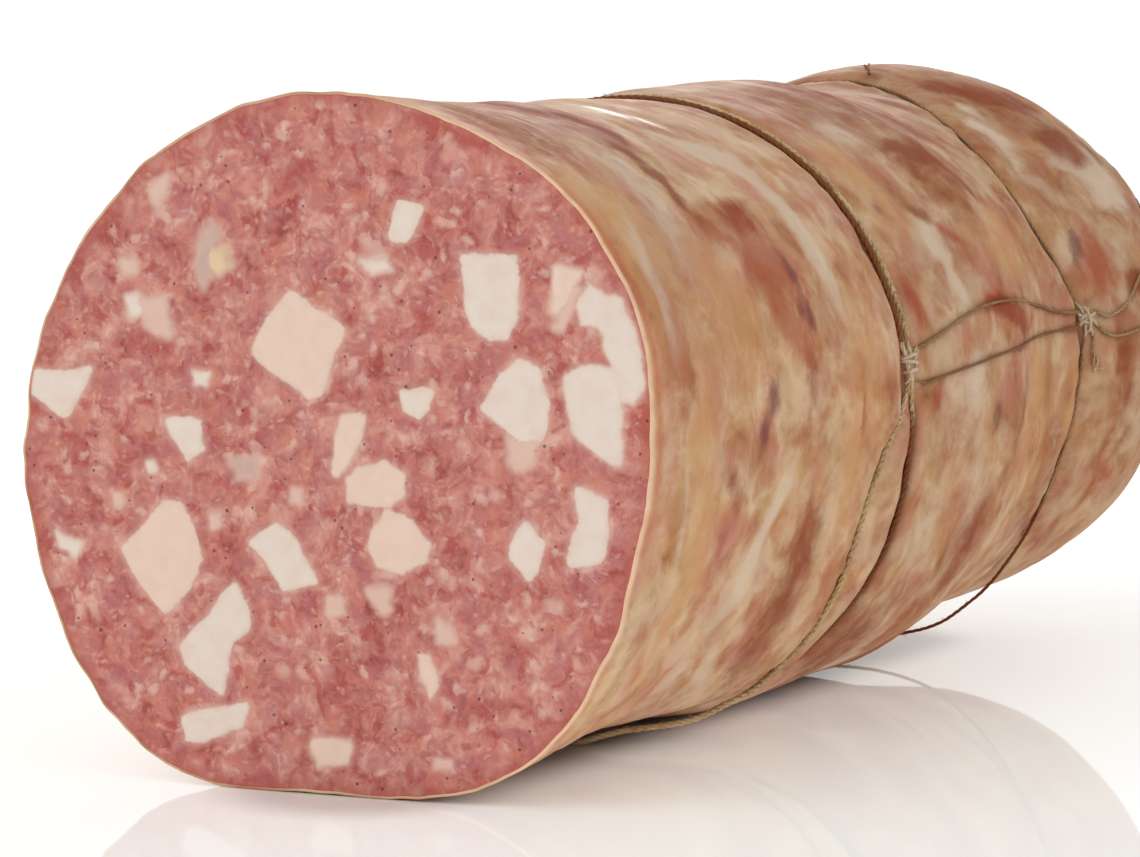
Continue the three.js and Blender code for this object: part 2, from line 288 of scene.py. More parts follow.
FRONT_RING: tuple[Place, ...] = (
    (14.6, 95.4, 0), (27, 95.0, 0), (45, 95.3, 0), (65, 95.5, 0), (90, 94.5, 0), (120, 92, 0),
    (150, 87, 0), (180, 80, 0), (210, 71, 0), (240, 61, 0), (262, 55, 0), (279, 57, 0),
    (290, 66, 0), (300, 72, 0), (308, 78, 0), (316, 82.5, 0), (326, 83.4, 0), (338, 82.8, 0),
    (349, 84, 0), (356, 87.6, 0), (361.4, 93, 0),
)
REAR_RING: tuple[Place, ...] = (
    (15.2, 98.0, 0), (27, 97.0, 0), (45, 97.2, 0), (65, 97.4, 0), (90, 96.6, 0), (120, 94.2, 0),
    (150, 89.3, 0), (180, 82.3, 0), (210, 73.4, 0), (240, 63.5, 0), (262, 57.6, 0),
    (278, 59.5, 0), (288, 68.2, 0), (297, 74.6, 0), (305, 81.5, 0), (311, 88, 0),
    (318, 92.6, 0), (326, 95.2, 0), (338, 96.6, 0), (350, 97.0, 0), (361.2, 97.2, 0),
)
BACK_RING: tuple[Place, ...] = (
    (13.2, 173.4, 0), (21, 171.6, 0), (30, 169.8, 0), (40, 169.6, 0), (52, 171.5, 0),
    (66, 177, 0), (80, 183, 0), (95, 187, 0), (120, 187, 0), (150, 184, 0), (180, 180, 0),
    (205, 176, 0.2), (228, 173, 1.6), (250, 171.5, 2.6), (275, 171, 2.9), (295, 171, 2.6),
    (308, 171, 2.0), (318, 171, 0.8), (328, 170.6, 0), (340, 170, 0), (352, 171.6, 0),
    (361.5, 173.2, 0),
)
LINK_UPPER: tuple[Place, ...] = (
    (13.0, 100.8, 0), (14.3, 108, 0), (16.2, 117, 0), (17.6, 126, 0), (17.7, 136, 0),
    (16.8, 146, 0), (14.6, 156, 0), (11.9, 165.6, 0), (10.7, 172.2, 0.5),
)
LINK_LOWER: tuple[Place, ...] = (
    (6.2, 100.8, 0), (6.7, 107, 0), (7.4, 118, 0), (8.1, 129, 0), (8.8, 141, 0), (9.2, 153, 0),
    (8.6, 164, 0), (7.6, 171.6, 0.5),
)
END_STRAND_LOWER: tuple[Place, ...] = (
    (6.4, 177.6, 0.3), (4.4, 180.2, 0), (3.1, 183.5, 0), (2.6, 191, 0), (4, 203, 0),
    (8, 216, 0), (14, 228, 0), (19, 234.5, 0), (22, 236.6, 0), (24, 237.5, 0),
)
END_STRAND_UPPER: tuple[Place, ...] = (
    (9.4, 177.8, 0.3), (7.6, 182.2, 0), (8.2, 187.6, 0), (10.4, 192, 0), (18, 203, 0),
    (27, 216, 0), (36, 228, 0), (45, 234.5, 0), (54, 236.6, 0), (62, 237.5, 0),
)
BACK_TAIL: tuple[Place, ...] = ((4.6, 176.0, 0.2), (1.2, 175.6, 0.3), (-2.6, 176.2, 0.5))
TOP_NUB: tuple[Place, ...] = ((92.5, 189.4, 0.2), (93.5, 190.4, 0.7), (94.0, 190.8, 1.4))
OLD_IMPRINT: tuple[Place, ...] = (
    (34, 153.5, 0), (27, 156.5, 0), (20, 159.5, 0), (12, 158, 0), (3, 157, 0), (-6, 157, 0),
    (-15, 158.5, 0), (-24, 161, 0), (-31, 164, 0),
)


def smooth_line(points: Sequence[Place], samples: int) -> Array:
    """Runs a centripetal Catmull-Rom line through points.

    Args:
        points: The points that it passes through.
        samples: How many steps to read it in.

    Returns:
        samples + 1 points on the line.
    """
    given = np.asarray(points, float)
    ends = (2 * given[0] - given[1], 2 * given[-1] - given[-2])
    knots = np.vstack([ends[0], given, ends[1]])
    place = np.linspace(0, len(given) - 1, samples + 1)
    span = np.minimum(place.astype(int), len(given) - 2)
    part = (place - span)[:, None]
    p0, p1, p2, p3 = (knots[span + offset] for offset in range(4))
    gap = [np.maximum(((b - a) ** 2).sum(1), 1e-12)[:, None] ** 0.25 for a, b in
           ((p0, p1), (p1, p2), (p2, p3))]
    leave = ((p1 - p0) / gap[0] - (p2 - p0) / (gap[0] + gap[1]) + (p2 - p1) / gap[1]) * gap[1]
    reach = ((p2 - p1) / gap[1] - (p3 - p1) / (gap[1] + gap[2]) + (p3 - p2) / gap[2]) * gap[1]
    cubic = 2 * p1 - 2 * p2 + leave + reach
    square = -3 * p1 + 3 * p2 - 2 * leave - reach
    return p1 + leave * part + square * part**2 + cubic * part**3


class RingReader:
    """Reads how far from the cut a ring's route lies at an angle, the whole way round."""

    SAMPLES = 240

    def __init__(self, route: Sequence[Place]) -> None:
        """Samples the route once.

        Args:
            route: Degrees round and millimetres from the cut, with the slack.
        """
        line = smooth_line(route, self.SAMPLES)
        self.first = line[0, 0]
        self.turns = np.append(line[:, 0], self.first + 360)
        self.alongs = np.append(line[:, 1], line[0, 1])

    def at(self, angle: Array) -> Array:
        """Millimetres from the cut at an angle in radians."""
        turned = self.first + np.mod(np.degrees(angle) - self.first, 360)
        return np.interp(turned, self.turns, self.alongs)


@dataclass
class BodyForm:
    """The outer surface of the meat in its casing, by angle round it and place along it."""

    body_radius: float = 52.6
    axis_height: float = 51.2
    dome_start: float = 140.0
    dome_end: float = 238.0
    lip_flare: float = 1.1
    lip_length: float = 12.0
    waist_depth: float = 0.9
    waist_at: float = 42.0
    waist_length: float = 24.0
    shoulder_swell: float = 1.2
    tail_shrink: float = 4.0
    tail_lift: float = 14.8
    tail_drift: float = 10.0
    axis_rise: float = 2.0
    cut_angle: float = 6.4
    cut_shift: float = -1.0
    neck_radius: float = 5.2
    tuft_radius: float = 8.0
    tuft_start: float = 242.5
    tuft_end: float = 252.0
    tuft_pleats: int = 9
    groove_depth: float = 1.0
    groove_width: float = 2.6
    underside_groove: float = 1.0
    rest_softness: float = 1.8
    lip_softness: float = 2.6
    cut_lobes: tuple[Place, ...] = ((3, 0.4, 32), (4, 0.45, 38), (5, 0.5, 28))
    lumps: tuple[tuple[float, float, float, float], ...] = (
        (0.062, 3, 0.35, 0.4), (0.095, 5, 0.25, 2.1), (0.041, 2, 0.4, 4.0), (0.13, 7, 0.16, 1.2),
    )
    front_ring: RingReader = field(default_factory=lambda: RingReader(FRONT_RING))
    rear_ring: RingReader = field(default_factory=lambda: RingReader(REAR_RING))
    back_ring: RingReader = field(default_factory=lambda: RingReader(BACK_RING))

    def __post_init__(self) -> None:
        """Works out the rows that the strands follow, and the slope and direction of the cut."""
        station = np.radians(60.0)
        self.front_row = float(self.front_ring.at(station))
        self.rear_row = float(self.rear_ring.at(station))
        self.back_row = float(self.back_ring.at(station))
        self.free_row = self.dome_end - 14
        tilt = math.radians(self.cut_angle)
        self.cut_slope = math.tan(tilt)
        self.cut_inward = np.array([-math.sin(tilt), math.cos(tilt), 0])

    def tail(self, along: Array) -> Array:
        """0 over the straight body, rising to 1 at the gathered end."""
        return np.clip((along - self.dome_start) / (self.dome_end - self.dome_start), 0, 1)

    def dome(self, along: Array) -> Array:
        """Radius of the rounded far end, as a part of the body's."""
        return np.maximum(1 - self.tail(along) ** 4.1, 0) ** (1 / 2.25)

    def neck(self, along: Array) -> Array:
        """Radius of the neck under the tie and of the tuft past it."""
        flare = smoothstep(along, self.tuft_start - 0.5, self.tuft_end - 3)
        length = self.tuft_end - self.tuft_start
        closing = np.clip((along - self.tuft_start) / length, 0, 1)
        radius = self.neck_radius + (self.tuft_radius - self.neck_radius) * flare
        return radius * np.sqrt(np.maximum(1 - closing**6, 0))

    def trunk(self, along: Array) -> Array:
        """Radius of the body before its lobes and its domed end."""
        radius = self.body_radius + self.lip_flare * np.exp(-along / self.lip_length)
        radius = radius - self.waist_depth * bell(along - self.waist_at, self.waist_length)
        radius = radius + self.shoulder_swell * smoothstep(along, 95, 155)
        return radius - self.tail_shrink * np.sin(np.pi * np.clip(self.tail(along) * 1.6, 0, 1))

    def axis(self, along: Array) -> Array:
        """The middle line's points, one row for each place along it."""
        tail = self.tail(along) ** 1.5
        rise = self.axis_rise * np.clip((along - 70) / 75, 0, 1) ** 1.3
        x = self.cut_shift * np.exp(-np.maximum(along, 0) / 20) + self.tail_drift * tail
        return np.stack([x, along, self.axis_height + rise + self.tail_lift * tail], axis=-1)

    def lobes(self, angle: Array, along: Array) -> Array:
        """Unevenness of the section: oval, lobed and lumpy."""
        tail = self.tail(along)
        ahead = np.maximum(along, 0)
        oval = 0.5 + 1.9 * np.exp(-ahead / 45)
        height = oval * np.cos(2 * (angle - math.radians(80)))
        for count, lobe, direction in self.cut_lobes:
            turned = count * (angle - math.radians(direction))
            height = height + np.exp(-ahead / 120) * lobe * np.cos(turned)
        swell = smoothstep(along, 4, 40)
        for wave, count, lump, phase in self.lumps:
            ripple = np.sin(wave * along + phase) * np.cos(count * angle + 2 * phase)
            height = height + swell * lump * ripple
        tail_oval = 3.8 * np.sin(np.pi * tail) * np.clip(2 * tail, 0, 1)
        return height * (1 - tail) - tail_oval * np.cos(2 * (angle - math.radians(58)))

    def groove(self, angle: Array, along: Array) -> Array:
        """How deep the rings of twine press into the surface."""
        under = smoothstep(-np.sin(angle), 0.75, 0.98)
        front = bell(along - self.front_ring.at(angle), self.groove_width)
        rear = bell(along - self.rear_ring.at(angle), self.groove_width)
        back = bell(along - self.back_ring.at(angle), self.groove_width)
        pair = np.maximum(front, rear) * (self.groove_depth + self.underside_groove * under)
        return pair + back * self.groove_depth

    def point(self, angle: Array, along: Array) -> Array:
        """Points of the surface.

        Args:
            angle: Radians round from +X, up over the top.
            along: Millimetres from the cut.

        Returns:
            One row for each point, in millimetres.
        """
        angle, along = np.broadcast_arrays(np.asarray(angle, float), np.asarray(along, float))
        centre = self.axis(along)
        dome = self.dome(along)
        flare = smoothstep(along, self.tuft_start, self.tuft_end)
        pleat = 1 + 0.13 * flare * np.cos(self.tuft_pleats * angle)
        radius = (self.trunk(along) + self.lobes(angle, along)) * dome
        radius = np.maximum(radius, self.neck(along) * pleat)[..., None]
        outward = np.stack([np.cos(angle), np.zeros_like(angle), np.sin(angle)], axis=-1)
        point = centre + radius * outward
        height = point[..., 2]
        near_cut = np.exp(-np.maximum(along, 0) / 10)
        soft = self.rest_softness + self.lip_softness * near_cut
        drop = 0.35 + 0.7 * near_cut
        point[..., 2] = np.maximum(0.5 * (height + np.hypot(height, soft)) - drop, 0)
        depth = self.groove(angle, along) * smoothstep(dome, 0.1, 0.5)
        return point + unit(centre - point) * depth[..., None]

    def normal(self, angle: Array, along: Array) -> Array:
        """Outward unit normals of the surface at points given as for point()."""
        turn, forth = 4e-3, 0.2
        round_it = self.point(angle + turn, along) - self.point(angle - turn, along)
        along_it = self.point(angle, along + forth) - self.point(angle, along - forth)
        normal = unit(np.cross(along_it, round_it))
        outward = self.point(angle, along) - self.axis(np.asarray(along, float))
        return normal * np.where((normal * outward).sum(-1, keepdims=True) < 0, -1.0, 1.0)

    def row_distance(self, row: Array, angle: Array) -> Array:
        """Millimetres from the cut of a row that follows the cut and the strands.

        Args:
            row: The row's place over the top of the body.
            angle: Radians round.

        Returns:
            The row's distance from the cut at that angle.
        """
        places = (0.0, self.front_row, self.rear_row, self.back_row, self.free_row)
        alongs = (
            self.cut_slope * self.body_radius * np.cos(angle),
            self.front_ring.at(angle),
            self.rear_ring.at(angle),
            self.back_ring.at(angle),
            np.full_like(angle, self.free_row),
        )
        result = np.array(row, float)
        for index in range(len(places) - 1):
            low, high = places[index], places[index + 1]
            part = (row - low) / (high - low)
            inside = (row < high) & ((row >= low) | (index == 0))
            reached = alongs[index] + part * (alongs[index + 1] - alongs[index])
            result = np.where(inside, reached, result)
        return result


# ---- what shows through the casing ----


class Tone(Enum):
    """What a patch of the casing shows."""

    PALE = "pale"
    RUSSET = "russet"
    RED = "red"
    PLUM = "plum"
    OCHRE = "ochre"
    WET = "wet"


@dataclass(frozen=True)
class Patch:
    """A soft-edged oval patch on the casing, longest round the body when its lean is 0."""

    tone: Tone
    turn: float
    along: float
    length: float
    width: float
    lean: float = 0.0
    strength: float = 1.0

    def weight(self, around: Array, along: Array, radius: float) -> Array:
        """How strongly the patch shows at places.

        Args:
            around: Degrees round.
            along: Millimetres from the cut.
            radius: Millimetres that turn degrees into a length round the body.

        Returns:
            0 to the patch's strength for each place.
        """
        turned = np.mod(around - self.turn + 180, 360) - 180
        reach = np.radians(turned) * radius
        forth = along - self.along
        cos, sin = math.cos(math.radians(self.lean)), math.sin(math.radians(self.lean))
        p = (reach * cos + forth * sin) / self.length
        q = (forth * cos - reach * sin) / self.width
        return self.strength * np.exp(-((p * p + q * q) ** 1.3))


def patches(rows: dict[Tone, Sequence[tuple[float, ...]]]) -> tuple[Patch, ...]:
    """Makes patches from rows of turn, along, length, width, lean and strength, by tone."""
    return tuple(Patch(tone, *row) for tone, given in rows.items() for row in given)


# wide, faint zones of one tone
TONE_ZONES: tuple[Patch, ...] = patches({
    Tone.OCHRE: (
        (15, 20, 45, 14, 0, 0.5), (50, 12, 14, 6, 0, 0.5), (48, 9, 10, 4, 0, 0.8), (42, 62, 8, 4, 0, 0.4),
        (8, 76, 34, 8, 0, 0.5), (42, 108, 14, 9, 0, 0.55), (-10, 150, 16, 18, 0, 0.6),
    ),
    Tone.RUSSET: (
        (80, 44, 24, 8, 8, 0.66), (76, 18, 18, 13, 0, 0.5), (-46, 97, 12, 16, 0, 0.56),
        (70, 24, 18, 16, 0, 0.3), (-60, 40, 8, 20, 0, 0.36), (-35, 62, 20, 9, 0, 0.3),
        (74, 134, 16, 26, 0, 0.62), (46, 136, 11, 12, -40, 0.6), (-38, 126, 24, 14, 0, 0.3),
        (66, 197, 20, 11, 0, 0.4), (-26, 167, 12, 12, 0, 0.42), (-22, 190, 26, 10, 0, 0.25),
    ),
    Tone.RED: (
        (66, 16, 16, 10, 0, 0.4), (68, 7, 13, 4, 0, 0.7), (22, 26, 26, 14, 0, 0.3),
        (23, 62, 13, 9, 0, 0.52), (22, 14, 12, 6, 0, 0.44), (6, 13, 12, 6, 0, 0.36),
        (22, 72, 10, 5, 0, 0.36), (14, 42, 16, 20, 0, 0.14), (22, 92, 9, 16, 0, 0.34),
        (44, 30, 14, 9, 0, 0.3), (36, 54, 12, 8, -20, 0.62), (66, 150, 14, 12, 0, 0.4),
        (14, 138, 8, 22, 0, 0.5), (15, 184, 10, 8, 0, 0.66),
    ),
    Tone.PALE: (
        (58, 26, 20, 9, 0, 0.34), (40, 31, 12, 8, 0, 0.4), (33, 16, 12, 6, 0, 0.3),
        (-16, 127, 10, 8, 0, 0.3), (-28, 40, 16, 12, 0, 0.36), (-2, 116, 14, 8, 0, 0.42),
        (38, 197, 11, 9, 0, 0.55),
    ),
})

SEEN_PATCHES: tuple[Patch, ...] = (
    # between the cut and the first ring
    *patches({
        Tone.PALE: (
            (60, 66, 11, 2.4, -35), (43, 71, 13, 3.0, -4), (29, 72, 8, 2.0, -16, 0.8),
            (31, 73.5, 9, 0.9, 4, 0.8), (49, 32, 9, 4.2, 12), (27, 14.5, 12, 1.8, 4, 0.95),
            (-8, 51, 7, 1.8, 28, 0.8), (-20, 45, 12, 2.2, 26, 0.9), (-45, 48, 9, 4.0, -20, 0.7),
            (-42, 37, 6, 3.5, 0, 0.5), (-10, 17, 11, 1.8, 0, 0.55),
        ),
        Tone.RUSSET: (
            (77, 49, 9, 2.2, 14), (62, 43.5, 12, 2.6, 14), (48, 42.5, 6, 2.8, 8),
            (88, 40, 16, 3.0, 8, 0.6), (42, 54, 6, 5, 20, 0.75), (33, 87, 9, 2.4, 0, 0.5),
            (12, 60, 8, 2.5, 0, 0.55), (2, 88, 7, 2.0, 8, 0.5), (14, 18, 8, 2.0, 8, 0.5),
            (-6, 33, 6, 3.4, 0, 0.6), (-15, 64, 9, 4.6, 10, 0.45), (-27, 62, 10, 5, 10, 0.5),
            (-40, 58, 9, 6, 0, 0.45),
        ),
        Tone.RED: (
            (34, 50, 4, 3.6, 0), (27, 52, 6, 3.2, -20, 0.95), (20, 57, 6, 3.0, -16, 0.7),
            (5, 77, 4.2, 1.5, 4, 0.95), (-38, 56, 1.7, 1.5, 0, 0.9),
        ),
        Tone.PLUM: (
            (33, 60, 3.6, 2.6, -20, 0.95), (24, 62, 6, 2.4, -20, 0.7), (8, 46, 4.2, 2.6, 14, 0.8),
            (1, 42.5, 3.6, 2.8, 20, 0.85),
        ),
        Tone.OCHRE: (
            (31, 34, 9, 5, 0, 0.9), (22, 38, 12, 7, 10, 0.8), (38, 17, 12, 3.0, 10, 0.8),
            (2, 22, 12, 3.6, 0, 0.9), (-20, 24, 13, 2.6, 10, 0.85), (-33, 22, 12, 3.0, 0, 0.6),
            (-2, 74, 16, 3.5, 4, 0.6), (20, 84, 12, 4, 0, 0.55),
        ),
    }),
    # between the rings
    *patches({
        Tone.RED: (
            (76, 109, 5, 3.2, -50, 0.8), (31, 125, 5, 1.5, -35, 0.8), (46, 144, 5, 3.4, -40, 0.5),
            (23, 103, 6, 3.2, 0, 0.75), (17, 131, 5, 1.8, 97, 0.8), (2.5, 106, 3.0, 2.2, 0, 0.95),
            (-46, 122, 8, 4, 20, 0.7),
        ),
        Tone.RUSSET: (
            (88, 150, 9, 14, 0, 0.75), (76, 172, 6, 5, 0, 0.8), (53, 131, 5, 2.4, -60, 0.8),
            (46, 137, 6, 2.2, -65, 0.75), (40, 144, 6, 2.2, -60, 0.7), (60, 150, 8, 5, -30, 0.55),
            (38, 119, 5, 2.2, -70, 0.75), (15, 136, 12, 2.3, 97, 0.95), (0, 143, 8, 1.8, 0, 0.55),
            (-8, 140, 12, 4, 0, 0.5), (-30, 132, 10, 5, 10, 0.6), (-52, 105, 12, 10, 0, 0.5),
        ),
        Tone.PALE: (
            (68, 133, 6, 3.0, -65, 0.85), (59, 121, 6, 5, -40, 0.8), (31, 119, 6, 3.4, -20, 0.95),
            (21, 121, 6, 2.6, -10, 0.85), (3, 122, 5, 3.4, 0, 0.8), (-22, 108, 8, 5, 0, 0.6),
        ),
        Tone.PLUM: (
            (39, 106, 4, 2.4, 0, 0.55), (-4, 130, 3.2, 2.6, 20, 0.8),
        ),
        Tone.OCHRE: (
            (28, 144, 8, 8, 0, 0.9), (55, 108, 8, 5, 0, 0.7), (1, 150, 8, 2.6, 0, 0.8),
            (-8, 168, 8, 2.6, 0, 0.7), (-14, 116, 10, 6, 0, 0.6),
        ),
    }),
    # past the second ring
    *patches({
        Tone.RUSSET: (
            (77, 192, 6, 4, -40, 0.95), (67, 200, 8, 3.0, -40, 0.8), (49, 198, 8, 4.6, -10, 0.95),
            (12, 194, 4, 4, 0, 0.8), (-6, 186, 12, 3.0, 0, 0.6),
        ),
        Tone.PALE: (
            (66, 188, 5, 3.0, -10, 0.85), (56, 183, 6, 4.0, 0, 0.9), (46, 180, 6, 3.0, 0, 0.7),
            (34, 200, 10, 5.5, 0, 0.9),
        ),
        Tone.RED: (
            (18, 185, 7, 3.2, 0, 0.95), (-24, 184, 12, 4, 0, 0.5),
        ),
        Tone.PLUM: (
            (22, 179, 4, 2.6, 0, 0.8),
        ),
        Tone.WET: (
            (79, 64, 6.5, 1.5, -10, 1.0), (71, 67, 3.4, 0.9, -16, 0.9),
        ),
    }),
)


@dataclass
class CasingMarks:
    """The patches, strand stains, painted shade and tints of the casing, worked out for its vertices."""

    form: BodyForm
    seed: int = 23
    unseen_patches: int = 150
    drift: float = 3.2
    stain_and_shade_width: float = 1.0
    patches: tuple[Patch, ...] = SEEN_PATCHES

    def unseen(self) -> list[Patch]:
        """Draws the patches of the sides that the picture doesn't show.

        Returns:
            Seeded random patches over the back, the underside and the gathered end.
        """
        draw = np.random.default_rng(self.seed)
        tones = (Tone.PALE, Tone.RUSSET, Tone.RED, Tone.PLUM, Tone.OCHRE)
        shares = (0.28, 0.3, 0.14, 0.06, 0.22)
        made = []
        for _ in range(self.unseen_patches):
            tone = tones[draw.choice(len(tones), p=shares)]
            turn, along = draw.uniform(100, 305), draw.uniform(6, 232)
            length, width = draw.uniform(4, 14), draw.uniform(1.6, 5.5)
            lean, strength = draw.uniform(-40, 40), draw.uniform(0.5, 1)
            made.append(Patch(tone, turn, along, length, width, lean, strength))
        for _ in range(self.unseen_patches // 6):
            tone = tones[draw.choice(len(tones), p=shares)]
            turn, along = draw.uniform(-60, 100), draw.uniform(204, 234)
            made.append(Patch(tone, turn, along, draw.uniform(3, 9), draw.uniform(2, 5), 0, 0.8))
        return made

    def strand_closeness(self, points: Array, route: Sequence[Place], width: float) -> Array:
        """How near surface points lie to a strand.

        Args:
            points: Surface points in millimetres.
            route: The strand's route over the casing.
            width: Millimetres over which it fades.

        Returns:
            1 under the strand, falling to 0 away from it.
        """
        line = smooth_line(route, max(40, 8 * len(route)))
        strand = self.form.point(np.radians(line[:, 0]), line[:, 1])
        tree = sorted_tree(strand)
        low, high = strand.min(0) - 4 * width, strand.max(0) + 4 * width
        near = np.flatnonzero(((points > low) & (points < high)).all(1))
        closeness = np.zeros(len(points))
        for index in near:
            closeness[index] = math.exp(-((tree.find(points[index])[2] / width) ** 2))
        return closeness

    def weights(self, angle: Array, along: Array, points: Array) -> dict[str, Array]:
        """Works out every mark for every vertex.

        Args:
            angle: Radians round, one for each vertex.
            along: Millimetres from the cut.
            points: The vertices in millimetres.

        Returns:
            Attribute names with one value from 0 to 1 for each vertex.
        """
        radius = self.form.body_radius
        coarse, fine = LatticeNoise(self.seed + 1), LatticeNoise(self.seed + 2)
        wander = coarse.layered(points, (9, 9, 9), 3) - 0.5
        sway = fine.layered(points, (8, 8, 8), 3) - 0.5
        around = np.degrees(angle) + np.degrees(2 * self.drift * wander / radius) * 2
        forth = along + 2 * self.drift * sway
        clear = {tone: np.ones(len(angle)) for tone in Tone}
        for patch in (*TONE_ZONES, *self.patches, *self.unseen()):
            clear[patch.tone] *= 1 - np.clip(patch.weight(around, forth, radius), 0, 1)
        marks = {tone.value: 1 - clear[tone] for tone in Tone}
        # the twine's stain together with painted shade beside the strands and at the table
        marks["soak"] = self.soak(angle, along, points)
        marks["toast"] = self.toast(angle, along)
        marks["imprint"] = self.strand_closeness(points, OLD_IMPRINT, 1.3)
        return marks

    def toast(self, angle: Array, along: Array) -> Array:
        """Darker towards the gathered end and over the top: partly browning from the oven, partly painted
        shade.
        """
        back = 0.35 * smoothstep(along, 84, 104) + 0.35 * smoothstep(along, 150, 205)
        top = 0.25 * smoothstep(np.sin(angle), 0.72, 0.97) * smoothstep(along, 0, 30)
        return back + top

    def soak(self, angle: Array, along: Array, points: Array) -> Array:
        """Brown stain that the twine leaves on the casing right beside it, together with painted shade in the
        grooves, under the body's overhang and where it meets the table.
        """
        turn = degrees_round(angle)
        high = smoothstep(turn, 6, 18) * (1 - smoothstep(turn, 140, 170))
        low = smoothstep(turn, -80, -50) * (1 - smoothstep(turn, 0, 8))
        front = along - self.form.front_ring.at(angle)
        rear = along - self.form.rear_ring.at(angle)
        back = bell(along - self.form.back_ring.at(angle) + 0.2, 0.75 * self.stain_and_shade_width)
        # dark lines beside the front ring over the top and beside the rear ring below its knot: partly the
        # twine's stain, partly painted shade in the grooves
        stain = np.maximum.reduce([
            high * bell(front + 0.45, 0.95 * self.stain_and_shade_width),
            0.5 * bell(front + 0.1, 0.8 * self.stain_and_shade_width),
            (0.4 + 0.6 * low) * bell(rear - 0.1 * low, (0.8 + 0.7 * low) * self.stain_and_shade_width),
            0.7 * back,
        ])
        for route in (LINK_UPPER, LINK_LOWER, END_STRAND_LOWER, END_STRAND_UPPER):
            stain = np.maximum(stain, 0.65 * self.strand_closeness(points, route, 0.7))
        # painted shade: a dark band where the body overhangs the low strand
        under = smoothstep(-np.sin(angle), 0.5, 0.8)
        stain = np.maximum(stain, under * bell(front + 1.1, 1.1))
        # painted shade in the dark crescent under the lifted near corner
        corner = smoothstep(-np.sin(angle), 0.962, 0.982) * (np.cos(angle) > 0)
        stain = np.maximum(stain, 0.9 * corner * smoothstep(along, 3, 10) * (1 - smoothstep(along, 70, 96)))
        # painted shade: a thin dark line where the casing meets the table
        table_contact_shade = bell(np.maximum(points[:, 2] - 0.2, 0), 0.9) * smoothstep(along, 34, 54)
        stain = np.maximum(stain, 0.8 * table_contact_shade)
        return stain


# ---- finishes ----


